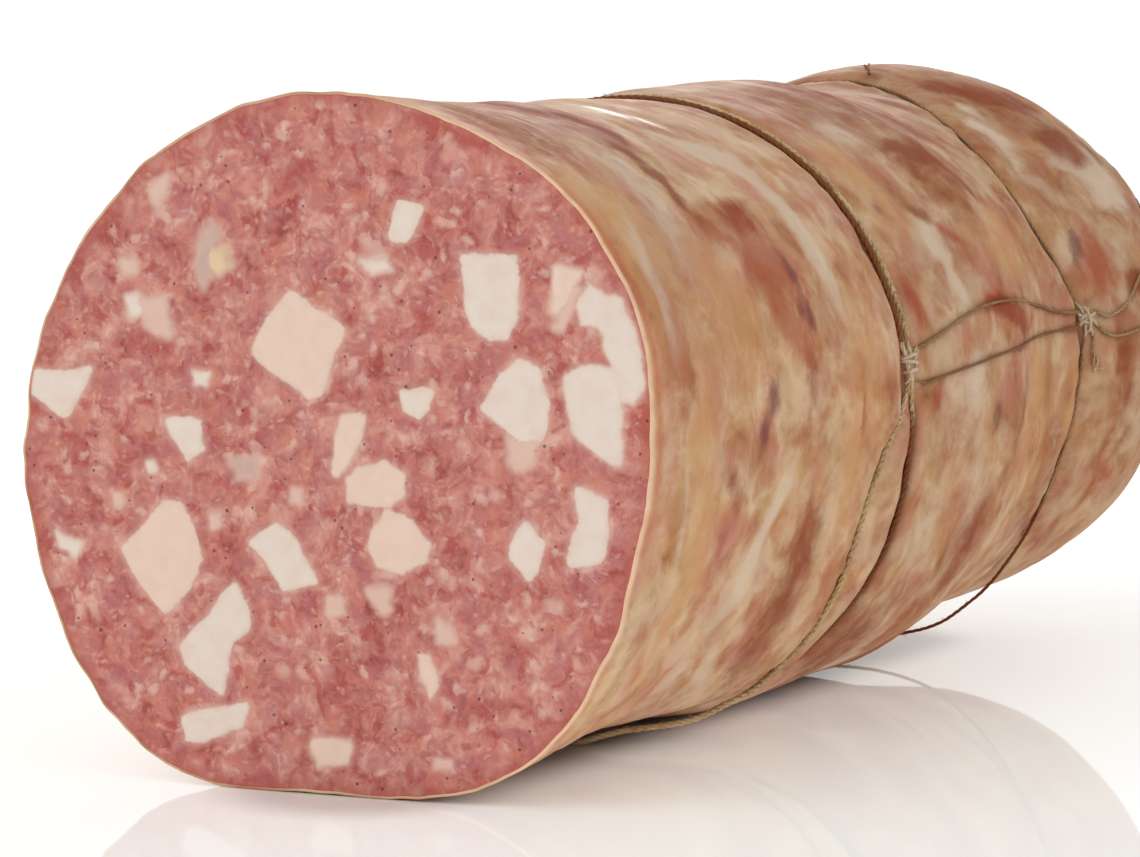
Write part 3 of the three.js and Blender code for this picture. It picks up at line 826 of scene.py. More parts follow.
@dataclass(frozen=True)
class CookedCasingFinish:
    """Natural casing, cooked and dried onto the meat.

    It gives the eye a tan, half clear skin: fat shows cream through it, lean meat red and
    brown, all of it mottled with soft edges, with fine creases and a dull, waxy gloss. Each
    blot is a wide cloud with its size in millimetres, and the last number in a row of colours
    is how strongly the colour covers.
    """

    tones: tuple[tuple[float, str], ...] = (
        (0.33, "#743A24"), (0.4, "#925338"), (0.45, "#A76B4A"), (0.495, "#B57E57"),
        (0.54, "#C08F66"), (0.59, "#CBA17A"), (0.67, "#DCBE9B"),
    )
    blots: tuple[tuple[str, float, float], ...] = (
        ("#D39C69", 11.0, 0.46), ("#BFA67E", 9.0, 0.42), ("#A45A42", 9.5, 0.58),
        ("#C88474", 10.0, 0.64), ("#DEC3A6", 8.0, 0.5),
    )
    patch_tones: tuple[tuple[Tone, str, float], ...] = (
        (Tone.OCHRE, "#D09C6A", 0.6), (Tone.PALE, "#DAC4AC", 0.8), (Tone.RUSSET, "#8A4229", 0.85),
        (Tone.RED, "#A3452F", 0.66), (Tone.PLUM, "#774440", 0.8),
    )
    mark_tones: tuple[tuple[str, str, float], ...] = (
        # the dark brown beside the strands is the twine's stain and painted shade together
        ("imprint", "#9A5A32", 0.5), ("lip_band", "#C5704E", 0.7), ("soak", "#5E2A12", 0.95),
        ("lip", "#F0C8A6", 0.85),
    )
    # browning from the oven with painted shade towards the back and over the top
    toast: str = "#7E5030"
    browning_and_shade_strength: float = 0.42
    tone_shift: float = 0.008
    sway_every_mm: float = 9.0
    sway_mm: float = 5.0
    mottle_mm: float = 6.5
    cloud_mm: float = 14.0
    ragged_mm: float = 3.2
    crease_mm: float = 1.5
    grain_mm: float = 1.3
    mottle_stretch: float = 0.84
    crease_stretch: float = 0.5
    roughness: tuple[float, float] = (0.4, 0.62)
    wet_roughness: float = 0.28
    dry_gloss: float = 0.02
    wet_gloss: float = 0.3
    relief_mm: float = 0.25

    def material(self) -> bpy.types.Material:
        """Builds the material.

        Returns:
            A material that reads the casing mesh's own attributes.
        """
        material, node = new_material("Cooked natural casing, dried onto the meat")
        flow = node("Attribute", output="Vector", attribute_name="flow")
        names = (*(tone.value for tone in Tone), "toast", *(name for name, _, _ in self.mark_tones))
        marks = {name: node("Attribute", output="Fac", attribute_name=name) for name in names}
        sway = node("TexNoise", {"Vector": flow, "Scale": 1 / self.sway_every_mm, "Detail": 1.0}, "Color")
        swayed = node("VectorMath", {0: sway, 1: (self.sway_mm,) * 3, 2: flow}, operation="MULTIPLY_ADD")
        drawn, creased = (
            node("VectorMath", {0: swayed, 1: (stretch, stretch, 1.0)}, operation="MULTIPLY")
            for stretch in (self.mottle_stretch, self.crease_stretch)
        )
        mottle, cloud, ragged, crease, grain = (
            node("TexNoise", {"Vector": place, "Scale": 1 / size, "Detail": detail, "Roughness": rough})
            for place, size, detail, rough in (
                (drawn, self.mottle_mm, 5.0, 0.54), (drawn, self.cloud_mm, 2.0, 0.5),
                (drawn, self.ragged_mm, 4.0, 0.6), (creased, self.crease_mm, 1.0, 0.5),
                (flow, self.grain_mm, 2.0, 0.6),
            )
        )
        value = self.tone_shift
        for part, weight in ((mottle, 0.6), (cloud, 0.46), (crease, 0.03), (grain, 0.04)):
            value = node("Math", {0: part, 1: weight, 2: value}, operation="MULTIPLY_ADD")
        colour = node("ValToRGB", {"Fac": value}, "Color")
        set_stops(colour, self.tones)
        edge = node("Math", {0: ragged, 1: -0.5}, operation="ADD")
        uneven = node("Math", {0: edge, 1: 1.2, 2: 1.0}, operation="MULTIPLY_ADD")
        # each soft-edged shape: its value and the two values between which it comes in
        shapes = []
        for number, (code, size, most) in enumerate(self.blots):
            moved = node("VectorMath", {0: drawn, 1: (37.0 * number, 11.0, -23.0 * number)}, operation="ADD")
            blot = node("TexNoise", {"Vector": moved, "Scale": 1 / size, "Detail": 4.0, "Roughness": 0.56})
            shapes.append((blot, 0.16, 0.44, 0.68, most, code))
        shapes.extend((marks[tone.value], 0.9, 0.1, 0.9, most, code) for tone, code, most in self.patch_tones)
        layers = []
        for shape, raggedness, start, end, most, code in shapes:
            torn = node("Math", {0: edge, 1: raggedness, 2: shape}, operation="MULTIPLY_ADD")
            share = node(
                "MapRange", {"Value": torn, "From Min": start, "From Max": end, "To Max": most},
                interpolation_type="SMOOTHSTEP",
            )
            layers.append((share, code))
        # browning with painted shade, stronger towards the back and over the top
        browned_and_shaded = node("Math", {0: marks["toast"], 1: self.browning_and_shade_strength}, operation="MULTIPLY")
        layers.insert(len(self.blots), (browned_and_shaded, self.toast))
        for name, code, most in self.mark_tones:
            share = node("Math", {0: marks[name], 1: uneven}, operation="MULTIPLY")
            share = node("Math", {0: share, 1: most}, operation="MULTIPLY", use_clamp=True)
            layers.append((share, code))
        for share, code in layers:
            colour = node("Mix", {"Factor": share, "A": colour, "B": paint(code)}, data_type="RGBA")
        low, high = self.roughness
        span = {"Value": mottle, "From Min": 0.3, "From Max": 0.7, "To Min": low, "To Max": high}
        rough = node("MapRange", span)
        wet = node("Mix", {"Factor": marks["wet"], "A": rough, "B": self.wet_roughness}, data_type="FLOAT")
        gloss = {0: marks["wet"], 1: self.wet_gloss, 2: self.dry_gloss}
        shine = node("Math", gloss, operation="MULTIPLY_ADD")
        relief = node("Math", {0: grain, 1: 0.6, 2: crease}, operation="MULTIPLY_ADD")
        bump = node("Bump", {"Height": relief, "Strength": 0.3, "Distance": self.relief_mm * MILLIMETRE})
        shader = node("BsdfPrincipled", {
            "Base Color": colour, "Roughness": wet, "Normal": bump, "IOR": 1.45, "Specular IOR Level": shine,
            "Subsurface Weight": 0.1, "Subsurface Radius": (1.0, 0.45, 0.25),
            "Subsurface Scale": 1.0 * MILLIMETRE,
        })
        node("OutputMaterial", {"Surface": shader})
        return material


@dataclass(frozen=True)
class Speck:
    """Specks of one kind, at most one in each cell of a net over the cut.

    Cells whose chance passes rate hold one, from small to large as parts of the cell; it comes
    in over the two distances in fade, and covers as strongly as strength says.
    """

    code: str
    cell_mm: float
    rate: float
    size: tuple[float, float]
    fade: tuple[float, float]
    strength: float
    channel: str = "Green"


@dataclass(frozen=True)
class MinceFinish:
    """Cooked pork mince with diced back fat, sliced through with a sharp knife.

    It gives the eye a dense, soft-edged mosaic of pink and mauve grains with wisps of pale
    fat, dark red lean bits and pepper dust, and smooth cream-white dice set into it.
    """

    tones: tuple[tuple[float, str], ...] = (
        (0.3, "#98463F"), (0.39, "#AC5C54"), (0.45, "#B86D64"), (0.5, "#C0796F"),
        (0.55, "#C88679"), (0.62, "#D19689"), (0.72, "#DEAF9F"),
    )
    salmon: str = "#CC7F6C"
    mauve: str = "#B2686C"
    fleck: str = "#E2BFAF"
    lean: str = "#A8433F"
    fat_shade: str = "#DDBFAD"
    rim_blush: str = "#B05A4E"
    wisps: tuple[Speck, ...] = (
        Speck("#E2BFAF", 4.08, 0.84, (0.0, 0.4), (-0.18, 0.26), 0.55),
        Speck("#E2BFAF", 2.4, 0.74, (0.0, 0.4), (-0.18, 0.26), 0.55),
        Speck("#E2BFAF", 1.2, 0.78, (0.0, 0.4), (-0.18, 0.26), 0.36),
    )
    pepper: Speck = Speck("#4A2723", 3.3, 0.5, (-0.04, 0.075), (-0.04, 0.03), 0.75, "Blue")
    tone_shift: float = -0.075
    sway: tuple[float, float] = (5.5, 3.4)
    jitter: tuple[float, float] = (0.8, 0.9)
    grain_mm: float = 2.7
    crumb_mm: float = 1.3
    paste_mm: float = 1.3
    blot_mm: float = 4.6
    cloud_mm: float = 13.0
    lean_mm: float = 3.6
    thread_mm: float = 2.1
    thread_spread_mm: float = 4.5
    fat_cloud_mm: float = 3.0
    roughness: tuple[float, float] = (0.42, 0.6)
    relief_mm: float = 0.2

    def material(self) -> bpy.types.Material:
        """Builds the material.

        Returns:
            A material that reads the cut face's own attributes.
        """
        material, node = new_material("Cooked pork mince with diced back fat, sliced")
        place = node("Attribute", output="Vector", attribute_name="cut_place")
        fat = node("Attribute", output="Color", attribute_name="fat_colour")
        reach, soft, rim, lean_bit = (
            node("Attribute", output="Fac", attribute_name=name)
            for name in ("fat_reach", "fat_softness", "rim_gap", "lean_bit")
        )
        bent = [place]
        for every, push in (self.sway, self.jitter):
            noise = node(
                "TexNoise", {"Vector": place, "Scale": 1 / every, "Detail": 2.0}, "Color",
                noise_dimensions="2D",
            )
            move = {0: noise, 1: (push, push, 0), 2: bent[-1]}
            bent.append(node("VectorMath", move, operation="MULTIPLY_ADD"))
        swayed, ragged = bent[1:]
        paste, blot, cloud, lean, spread, fat_cloud = (
            node(
                "TexNoise", {"Vector": where, "Scale": 1 / size, "Detail": detail, "Roughness": rough},
                noise_dimensions="2D",
            )
            for where, size, detail, rough in (
                (swayed, self.paste_mm, 3.0, 0.6), (swayed, self.blot_mm, 3.0, 0.6),
                (place, self.cloud_mm, 2.0, 0.5), (ragged, self.lean_mm, 3.0, 0.55),
                (swayed, self.thread_spread_mm, 2.0, 0.5), (place, self.fat_cloud_mm, 3.0, 0.5),
            )
        )
        grain, crumb = (
            node(
                "TexVoronoi", {"Vector": ragged, "Scale": 1 / size, "Smoothness": smooth}, "Color",
                voronoi_dimensions="2D", feature="SMOOTH_F1",
            )
            for size, smooth in ((self.grain_mm, 0.7), (self.crumb_mm, 0.8))
        )
        grains, crumbs, blots = (
            node("SeparateColor", {"Color": cells}, "Red")
            for cells in (grain, crumb, blot.node.outputs["Color"])
        )
        total = self.tone_shift
        for part, weight in ((grains, 0.13), (crumbs, 0.07), (paste, 0.3), (cloud, 0.2), (blots, 0.48)):
            total = node("Math", {0: part, 1: weight, 2: total}, operation="MULTIPLY_ADD")
        colour = node("ValToRGB", {"Fac": total}, "Color")
        set_stops(colour, self.tones)
        threads = node(
            "TexVoronoi", {"Vector": ragged, "Scale": 1 / self.thread_mm}, "Distance",
            voronoi_dimensions="2D", feature="DISTANCE_TO_EDGE",
        )
        wobble = node("Math", {0: paste, 1: 0.7, 2: reach}, operation="MULTIPLY_ADD")
        wobble = node("Math", {0: wobble, 1: -0.35}, operation="ADD")
        outer = node("Math", {0: soft, 1: -1.0}, operation="MULTIPLY")
        # each mask: its value, the two values between which it comes in, and its most
        salmon, mauve, lean, thread, threaded, blush, in_fat, bleed, fat_edge = (
            node(
                "MapRange", {"Value": value, "From Min": start, "From Max": end, "To Max": most},
                interpolation_type="SMOOTHSTEP",
            )
            for value, start, end, most in (
                (blots.node.outputs["Green"], 0.47, 0.66, 0.6), (blots.node.outputs["Blue"], 0.47, 0.66, 0.6),
                (lean, 0.56, 0.7, 0.62), (threads, 0.34, 0.0, 0.14), (spread, 0.46, 0.66, 1.0),
                (rim, 3.2, 0.2, 0.5), (wobble, soft, outer, 1.0), (wobble, 1.2, 0.0, 0.3),
                (reach, -1.1, 0.1, 0.35),
            )
        )
        lean_bit = node("Math", {0: lean_bit, 1: 0.72}, operation="MULTIPLY")
        lean = node("Math", {0: lean, 1: lean_bit}, operation="MAXIMUM")
        thread = node("Math", {0: thread, 1: threaded}, operation="MULTIPLY")
        *wisps, pepper = (
            (self.specks(node, speck, where), speck.code)
            for speck, where in (*((wisp, ragged) for wisp in self.wisps), (self.pepper, place))
        )
        layers = (
            (salmon, self.salmon), (mauve, self.mauve), (lean, self.lean), (thread, self.fleck), *wisps,
            (blush, self.rim_blush), (bleed, self.fleck), pepper,
        )
        for share, code in layers:
            colour = node("Mix", {"Factor": share, "A": colour, "B": paint(code)}, data_type="RGBA")
        shade = node("MapRange", {"Value": fat_cloud, "From Min": 0.4, "From Max": 0.75, "To Max": 0.4})
        shade = node("Math", {0: shade, 1: fat_edge}, operation="ADD", use_clamp=True)
        fat = node("Mix", {"Factor": shade, "A": fat, "B": paint(self.fat_shade)}, data_type="RGBA")
        colour = node("Mix", {"Factor": in_fat, "A": colour, "B": fat}, data_type="RGBA")
        low, high = self.roughness
        span = {"Value": paste, "From Min": 0.3, "From Max": 0.7, "To Min": low, "To Max": high}
        rough = node("MapRange", span)
        still = node("Math", {0: 1.0, 1: in_fat}, operation="SUBTRACT")
        height = node("Math", {0: paste, 1: total}, operation="ADD")
        height = node("Math", {0: height, 1: still}, operation="MULTIPLY")
        bump = node("Bump", {"Height": height, "Strength": 0.35, "Distance": self.relief_mm * MILLIMETRE})
        shader = node("BsdfPrincipled", {
            "Base Color": colour, "Roughness": rough, "Normal": bump, "IOR": 1.42, "Specular IOR Level": 0.3,
            "Subsurface Weight": 0.2, "Subsurface Radius": (1.0, 0.4, 0.3),
            "Subsurface Scale": 0.8 * MILLIMETRE,
        })
        node("OutputMaterial", {"Surface": shader})
        return material

    def specks(self, node: NodeMaker, speck: Speck, where: bpy.types.NodeSocket) -> bpy.types.NodeSocket:
        """Scatters specks of one kind.

        Args:
            node: Adds a node to the material.
            speck: The kind of speck.
            where: Places on the cut, in millimetres.

        Returns:
            How strongly a speck covers each place.
        """
        away = node(
            "TexVoronoi", {"Vector": where, "Scale": 1 / speck.cell_mm}, "Distance", voronoi_dimensions="2D"
        )
        chance = node("SeparateColor", {"Color": away.node.outputs["Color"]}, speck.channel)
        small, large = speck.size
        radius = node("MapRange", {"Value": chance, "From Min": speck.rate, "To Min": small, "To Max": large})
        inside = node("Math", {0: radius, 1: away}, operation="SUBTRACT")
        start, end = speck.fade
        return node(
            "MapRange", {"Value": inside, "From Min": start, "From Max": end, "To Max": speck.strength},
            interpolation_type="SMOOTHSTEP",
        )


@dataclass(frozen=True)
class TwineFinish:
    """Cotton butcher's twine, spun in three plies and cooked with the meat.

    It gives the eye a dull straw and olive thread with painted shade in the creases between the plies, and
    turns a deep brown where the juices of the meat have stained it and, on the rings, where painted shade
    lies in their grooves.
    """

    light: str = "#E8D3AC"
    middle: str = "#C6A87C"
    dark: str = "#7C5430"
    # deep brown of juice stain, and of painted shade on the rings in their grooves
    soaked_and_shaded: str = "#78391C"
    pale: str = "#E6D3B8"
    fibre_mm: float = 0.5
    damp_mm: float = 9.0
    relief_mm: float = 0.1

    def material(self) -> bpy.types.Material:
        """Builds the material.

        Returns:
            A material that reads the twine mesh's own attributes.
        """
        material, node = new_material("Cotton twine, spun, dried in the oven")
        place = node("TexCoord", output="Object")
        fibre, damp = (
            node(
                "TexNoise",
                {"Vector": place, "Scale": 1 / (size * MILLIMETRE), "Detail": detail, "Roughness": rough},
            )
            for size, detail, rough in ((self.fibre_mm, 3.0, 0.65), (self.damp_mm, 2.0, 0.5))
        )
        value = 0.0
        for part in (fibre, damp):
            value = node("Math", {0: part, 1: 0.5, 2: value}, operation="MULTIPLY_ADD")
        colour = node("ValToRGB", {"Fac": value}, "Color")
        set_stops(colour, ((0.32, self.dark), (0.5, self.middle), (0.68, self.light)))
        # crease is painted shade between the plies; the deep brown is juice stain with painted shade on the
        # rings
        for name, code in (("crease", self.dark), ("soaked_and_shaded", self.soaked_and_shaded), ("bleached", self.pale)):
            share = node("Attribute", output="Fac", attribute_name=name)
            colour = node("Mix", {"Factor": share, "A": colour, "B": paint(code)}, data_type="RGBA")
        bump = node("Bump", {"Height": fibre, "Strength": 0.6, "Distance": self.relief_mm * MILLIMETRE})
        shader = node("BsdfPrincipled", {
            "Base Color": colour, "Roughness": 0.78, "Normal": bump, "IOR": 1.5, "Specular IOR Level": 0.08,
        })
        node("OutputMaterial", {"Surface": shader})
        return material


@dataclass(frozen=True)
class LitTableFinish:
    """White cast acrylic, polished and lit from below.

    It gives the eye a ground that stays white right up to the salami, with a faint, warm
    mirror image in it that grows stronger towards the far side.
    """

    ground: Colour = (0.89, 0.91, 0.87, 1.0)
    glow: float = 0.33
    refraction: float = 1.42
    mirror_share: float = 0.7
    mirror_roughness: float = 0.03
    shade_from: float = 0.011
    shade_to: float = 0.026

    def material(self, middle: tuple[float, float], half_length: float) -> bpy.types.Material:
        """Builds the material of the table.

        Args:
            middle: Middle of the strip that the salami rests on, in metres.
            half_length: Half the strip's length along Y, in metres.

        Returns:
            A white ground under an even gloss, whose glow fades out near the strip under the salami as a
            painted shadow.
        """
        material, node = new_material("White cast acrylic, polished and lit from below")
        place = node("TexCoord", output="Object")
        aside = node("SeparateXYZ", {"Vector": place}, "X")
        across = node("Math", {0: aside, 1: -middle[0]}, operation="ADD")
        forth = node("Math", {0: aside.node.outputs["Y"], 1: -middle[1]}, operation="ADD")
        forth = node("Math", {0: forth}, operation="ABSOLUTE")
        past = node("Math", {0: forth, 1: -half_length}, operation="ADD")
        past = node("Math", {0: past, 1: 0.0}, operation="MAXIMUM")
        offset = node("CombineXYZ", {"X": across, "Y": past})
        away = node("VectorMath", {0: offset}, "Value", operation="LENGTH")
        # painted shadow: the glow fades out near the strip that the salami rests on
        light = node(
            "MapRange",
            {"Value": away, "From Min": self.shade_from, "From Max": self.shade_to, "To Max": self.glow},
            interpolation_type="SMOOTHSTEP",
        )
        ground = node("BsdfDiffuse", {"Color": self.ground})
        glow = node("Emission", {"Strength": light})
        lit = node("AddShader", {0: ground, 1: glow})
        mirror = node("BsdfGlossy", {"Roughness": self.mirror_roughness})
        fresnel = node("Fresnel", {"IOR": self.refraction})
        gloss = node("Math", {0: fresnel, 1: self.mirror_share}, operation="MULTIPLY")
        both = node("MixShader", {0: gloss, 1: lit, 2: mirror})
        node("OutputMaterial", {"Surface": both})
        return material


# ---- pieces ----


def finished_object(
    name: str, shape: bmesh.types.BMesh, material: bpy.types.Material, replaced: Sequence[str],
) -> bpy.types.Object:
    """Turns a finished bmesh into a piece that rides on the body.

    Args:
        name: The piece's name.
        shape: Its mesh in the row frame, in metres; it is freed.
        material: Its finish.
        replaced: The CAD nodes that it stands for.

    Returns:
        The new object.
    """
    bmesh.ops.recalc_face_normals(shape, faces=shape.faces)
    mesh = bpy.data.meshes.new(name)
    shape.to_mesh(mesh)
    shape.free()
    mesh.shade_smooth()
    mesh.materials.append(material)
    piece = add_object(name, mesh)
    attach(piece, ROOT_BODY)
    if replaced:
        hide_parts(*replaced)
    return piece


def store(mesh: bpy.types.Mesh, name: str, values: Array) -> None:
    """Stores one value, vector or colour for each vertex.

    Args:
        mesh: The mesh that gets the attribute.
        name: The attribute's name.
        values: One row for each vertex, of one, three or four numbers.
    """
    kinds = {1: ("FLOAT", "value"), 3: ("FLOAT_VECTOR", "vector"), 4: ("FLOAT_COLOR", "color")}
    width = 1 if values.ndim == 1 else values.shape[1]
    kind, key = kinds[width]
    layer = mesh.attributes.new(name, kind, "POINT")
    layer.data.foreach_set(key, np.ascontiguousarray(values, np.float32).ravel())


def vertex_places(shape: bmesh.types.BMesh) -> Array:
    """The vertices of a bmesh, one row each."""
    return np.array([vertex.co for vertex in shape.verts], float)


def move_vertices(shape: bmesh.types.BMesh, places: Array) -> None:
    """Puts the vertices of a bmesh at new places, one row each."""
    for vertex, place in zip(shape.verts, places):
        vertex.co = place


@dataclass
class SalamiCasing:
    """The casing over the meat, from its lip at the cut to the pleated tuft."""

    form: BodyForm
    placement: Placement
    round_steps: int = 384
    lip_profile: tuple[tuple[float, float], ...] = (
        (1.2, 1.6), (0.56, 0.6), (0.48, 0.06), (0.4, -0.1), (0.26, -0.16), (0.1, -0.08), (0.0, 0.14),
    )
    crease_height: float = 0.22
    lump_height: float = 0.5
    pucker_height: float = 0.35
    pleat_height: float = 0.9
    furrow_depth: float = 0.35
    wave_height: float = 0.65
    corner_lift: float = 2.8
    seed: int = 5

    def __post_init__(self) -> None:
        """Lays out the rows of the mesh."""
        form = self.form
        spans = (
            (0.6, 4.0, 0.5), (4.5, form.front_row - 6, 1.2),
            (form.front_row - 5, form.rear_row + 5, 0.4), (form.rear_row + 6, form.back_row - 6, 1.25),
            (form.back_row - 5, form.back_row + 5, 0.5), (form.back_row + 6, form.free_row - 8, 1.2),
        )
        rows = [row for start, end, step in spans for row in np.arange(start, end, step)]
        dome = np.sin(np.linspace(0, 0.5 * np.pi, 20)[1:])
        rows.extend(rows[-1] + (form.dome_end - 0.6 - rows[-1]) * dome)
        rows.extend((form.dome_end + 0.4, form.dome_end + 2.5, form.tuft_start, form.tuft_start + 2))
        rows.extend(form.tuft_end - back for back in (5.5, 3.8, 2.4, 1.4, 0.7, 0.25, 0.04))
        self.rows = np.array(rows)

    def furrow(self, angle: Array) -> Array:
        """How far the rear strand has cut into the casing below the front knot, 0 to 1."""
        turn = degrees_round(angle)
        return smoothstep(turn, -70, -48) * (1 - smoothstep(turn, -8, 3))

    def sunk(self, angle: Array, along: Array) -> Array:
        """Depth of the narrow creases right under the strands."""
        front = bell(along - self.form.front_ring.at(angle), 0.9)
        rear = along - self.form.rear_ring.at(angle)
        back = bell(along - self.form.back_ring.at(angle), 0.9)
        deep = self.furrow_depth * self.furrow(angle) * bell(rear, 1.2)
        return 0.25 * np.maximum.reduce([front, bell(rear, 0.9), back]) + deep

    def surface(self, angle: Array, along: Array) -> Array:
        """The form with the strands' creases pressed into it and its near lower edge drawn up."""
        pressed = self.form.normal(angle, along) * self.sunk(angle, along)[..., None]
        point = self.form.point(angle, along) - pressed
        near = smoothstep(-np.sin(angle), 0.78, 0.96) * smoothstep(np.cos(angle), 0.02, 0.26)
        length = smoothstep(along, 2, 14) * (1 - smoothstep(along, 60, 96))
        point[..., 2] += self.corner_lift * near * length
        return point

    def relief(self, angle: Array, along: Array, row: Array, flow: Array) -> Array:
        """Height of the casing's own creases, lumps and pleats.

        Args:
            angle: Radians round.
            along: Millimetres from the cut.
            row: The vertices' rows.
            flow: Places on an unbent tube, in millimetres.

        Returns:
            Millimetres outwards for each vertex.
        """
        form = self.form
        noise = LatticeNoise(self.seed)
        ridge = noise.layered(flow, (22, 22, 3.4), 2)
        ridge = 1 - np.abs(2 * ridge - 1)
        fine = noise.layered(flow + 31, (7, 7, 1.6), 2) - 0.5
        lump = noise.layered(flow + 57, (15, 15, 13), 2) - 0.5
        height = self.crease_height * (ridge**3 - 0.4) + self.lump_height * 2 * lump
        height = height + 0.5 * self.crease_height * fine
        near = np.maximum.reduce([
            bell(along - ring.at(angle), 5.0) for ring in (form.front_ring, form.rear_ring, form.back_ring)
        ])
        pucker = noise.at(flow * (1, 1, 0.35) + 91, (2.6, 2.6, 2.6)) - 0.5
        height = height + self.pucker_height * near * pucker * 2
        spokes = np.stack([np.cos(angle), np.sin(angle), along * 0.012], axis=1)
        pleat = 1 - np.abs(2 * noise.at(spokes * 9.0 + 11, (1, 1, 1)) - 1)
        gather = smoothstep(along, 196, 236) * (1 - smoothstep(along, form.dome_end - 3, form.dome_end + 1))
        height = height + self.pleat_height * gather * (pleat - 0.6)
        height = height * smoothstep(row, 0.0, 6.0) * smoothstep(form.dome(along), 0.04, 0.3)
        return height + self.waves(angle) * np.exp(-np.maximum(row, 0) / 5)

    def shape(self) -> tuple[bmesh.types.BMesh, dict[str, Array]]:
        """Bends a closed tube into the casing.

        Returns:
            The mesh in metres in the row frame, and its attributes.
        """
        form = self.form
        lip = np.array(self.lip_profile)
        levels = len(lip) + len(self.rows)
        tube = bmesh.new()
        bmesh.ops.create_cone(
            tube, cap_ends=True, cap_tris=True, segments=self.round_steps, radius1=1, radius2=1,
            depth=levels - 1, matrix=Matrix.Rotation(-0.5 * math.pi, 4, "X"),
        )
        lengthwise = [edge for edge in tube.edges if abs(edge.verts[0].co.y - edge.verts[1].co.y) > 1]
        bmesh.ops.subdivide_edges(tube, edges=lengthwise, cuts=levels - 2, use_grid_fill=True)
        places = vertex_places(tube)
        level = np.rint(places[:, 1] + 0.5 * (levels - 1)).astype(int)
        angle = np.arctan2(places[:, 2], places[:, 0])
        pole = np.hypot(places[:, 0], places[:, 2]) < 0.5
        on_lip = level < len(lip)
        row = np.where(on_lip, 0.0, self.rows[np.maximum(level - len(lip), 0)])
        along = form.row_distance(row, angle)
        flow = np.stack([form.body_radius * np.cos(angle), form.body_radius * np.sin(angle), along], axis=1)
        height = self.relief(angle, along, row, flow)[:, None]
        points = self.surface(angle, along) + form.normal(angle, along) * height
        points = np.where(on_lip[:, None], self.lip_points(angle, level, lip), points)
        centre = form.axis(np.zeros(1))[0]
        front_pole = (centre[0], form.cut_slope * centre[0], centre[2]) + form.cut_inward * lip[0, 1]
        points[pole & (level == 0)] = front_pole
        tip = form.axis(np.full(1, form.tuft_end))[0]
        points[pole & (level > 0)] = tip
        points[:, 2] = np.maximum(points[:, 2], 0.02)
        attributes = {"flow": flow, **CasingMarks(form).weights(angle, along, points)}
        attributes.update(self.lip_tints(angle, row, level, lip))
        move_vertices(tube, self.placement.metres(points))
        return tube, attributes

    def lip_points(self, angle: Array, level: Array, lip: Array) -> Array:
        """Places of the lip's vertices: inset from the edge of the cut and set back from it.

        Args:
            angle: Radians round.
            level: Which ring of the lip's profile each vertex is on.
            lip: Inset and set-back of each ring, in millimetres.

        Returns:
            One row for each vertex.
        """
        form = self.form
        inset, back = lip[np.minimum(level, len(lip) - 1)].T
        edge = self.cut_edge(angle)
        centre = form.axis(np.zeros(1))[0]
        point = edge - unit((edge - centre) * (1, 0, 1)) * inset[:, None]
        point[:, 1] = form.cut_slope * point[:, 0]
        return point + form.cut_inward * back[:, None]

    def cut_edge(self, angle: Array) -> Array:
        """The outer edge of the casing on the plane of the cut."""
        form = self.form
        row = form.row_distance(np.zeros_like(angle), angle)
        edge = form.point(angle, row) + form.normal(angle, row) * self.waves(angle)[:, None]
        edge[:, 1] = form.cut_slope * edge[:, 0]
        edge[:, 2] = np.maximum(edge[:, 2], 0.02)
        return edge

    def waves(self, angle: Array) -> Array:
        """How the knife left the edge of the cut uneven, in millimetres outwards."""
        radius = self.form.body_radius
        ring = np.stack([radius * np.cos(angle), np.zeros_like(angle), radius * np.sin(angle)], axis=1)
        return self.wave_height * 2 * (LatticeNoise(self.seed + 3).layered(ring, (6, 1, 6), 3) - 0.5)

    def lip_tints(
        self, angle: Array, row: Array, level: Array, lip: Array
    ) -> dict[str, Array]:
        """Tints of the lip and of the band beside it.

        Args:
            angle: Radians round.
            row: The vertices' rows.
            level: The vertices' levels.
            lip: The lip's profile.

        Returns:
            The two attributes.
        """
        right = smoothstep(np.cos(angle - math.radians(5)), -0.1, 0.6)
        crown = (level < len(lip)) * (0.12 + 0.88 * right)
        crown = np.maximum(crown, 0.5 * right * bell(row, 0.6) * (level >= len(lip)))
        turn = degrees_round(angle)
        high = smoothstep(turn, -22, 5) * (1 - smoothstep(turn, 42, 70))
        band = high * bell(row - 2.0, 1.5) * (level >= len(lip))
        return {"lip": crown, "lip_band": band}

    def build(self, finish: CookedCasingFinish) -> bpy.types.Object:
        """Makes the casing piece.

        Args:
            finish: Its finish.

        Returns:
            The casing's object.
        """
        tube, attributes = self.shape()
        piece = finished_object("salami_casing", tube, finish.material(), ("salami",))
        for name, values in attributes.items():
            store(piece.data, name, values)
        return piece


class FatTone(Enum):
    """Colours of the pieces of fat."""

    CREAM = "#E4D5C9"
    PINK = "#E7CBBB"
    ROSE = "#DDB8AA"
    YELLOW = "#DFC79C"
    GREY = "#C9A79C"
    LEAN = "#A8473F"


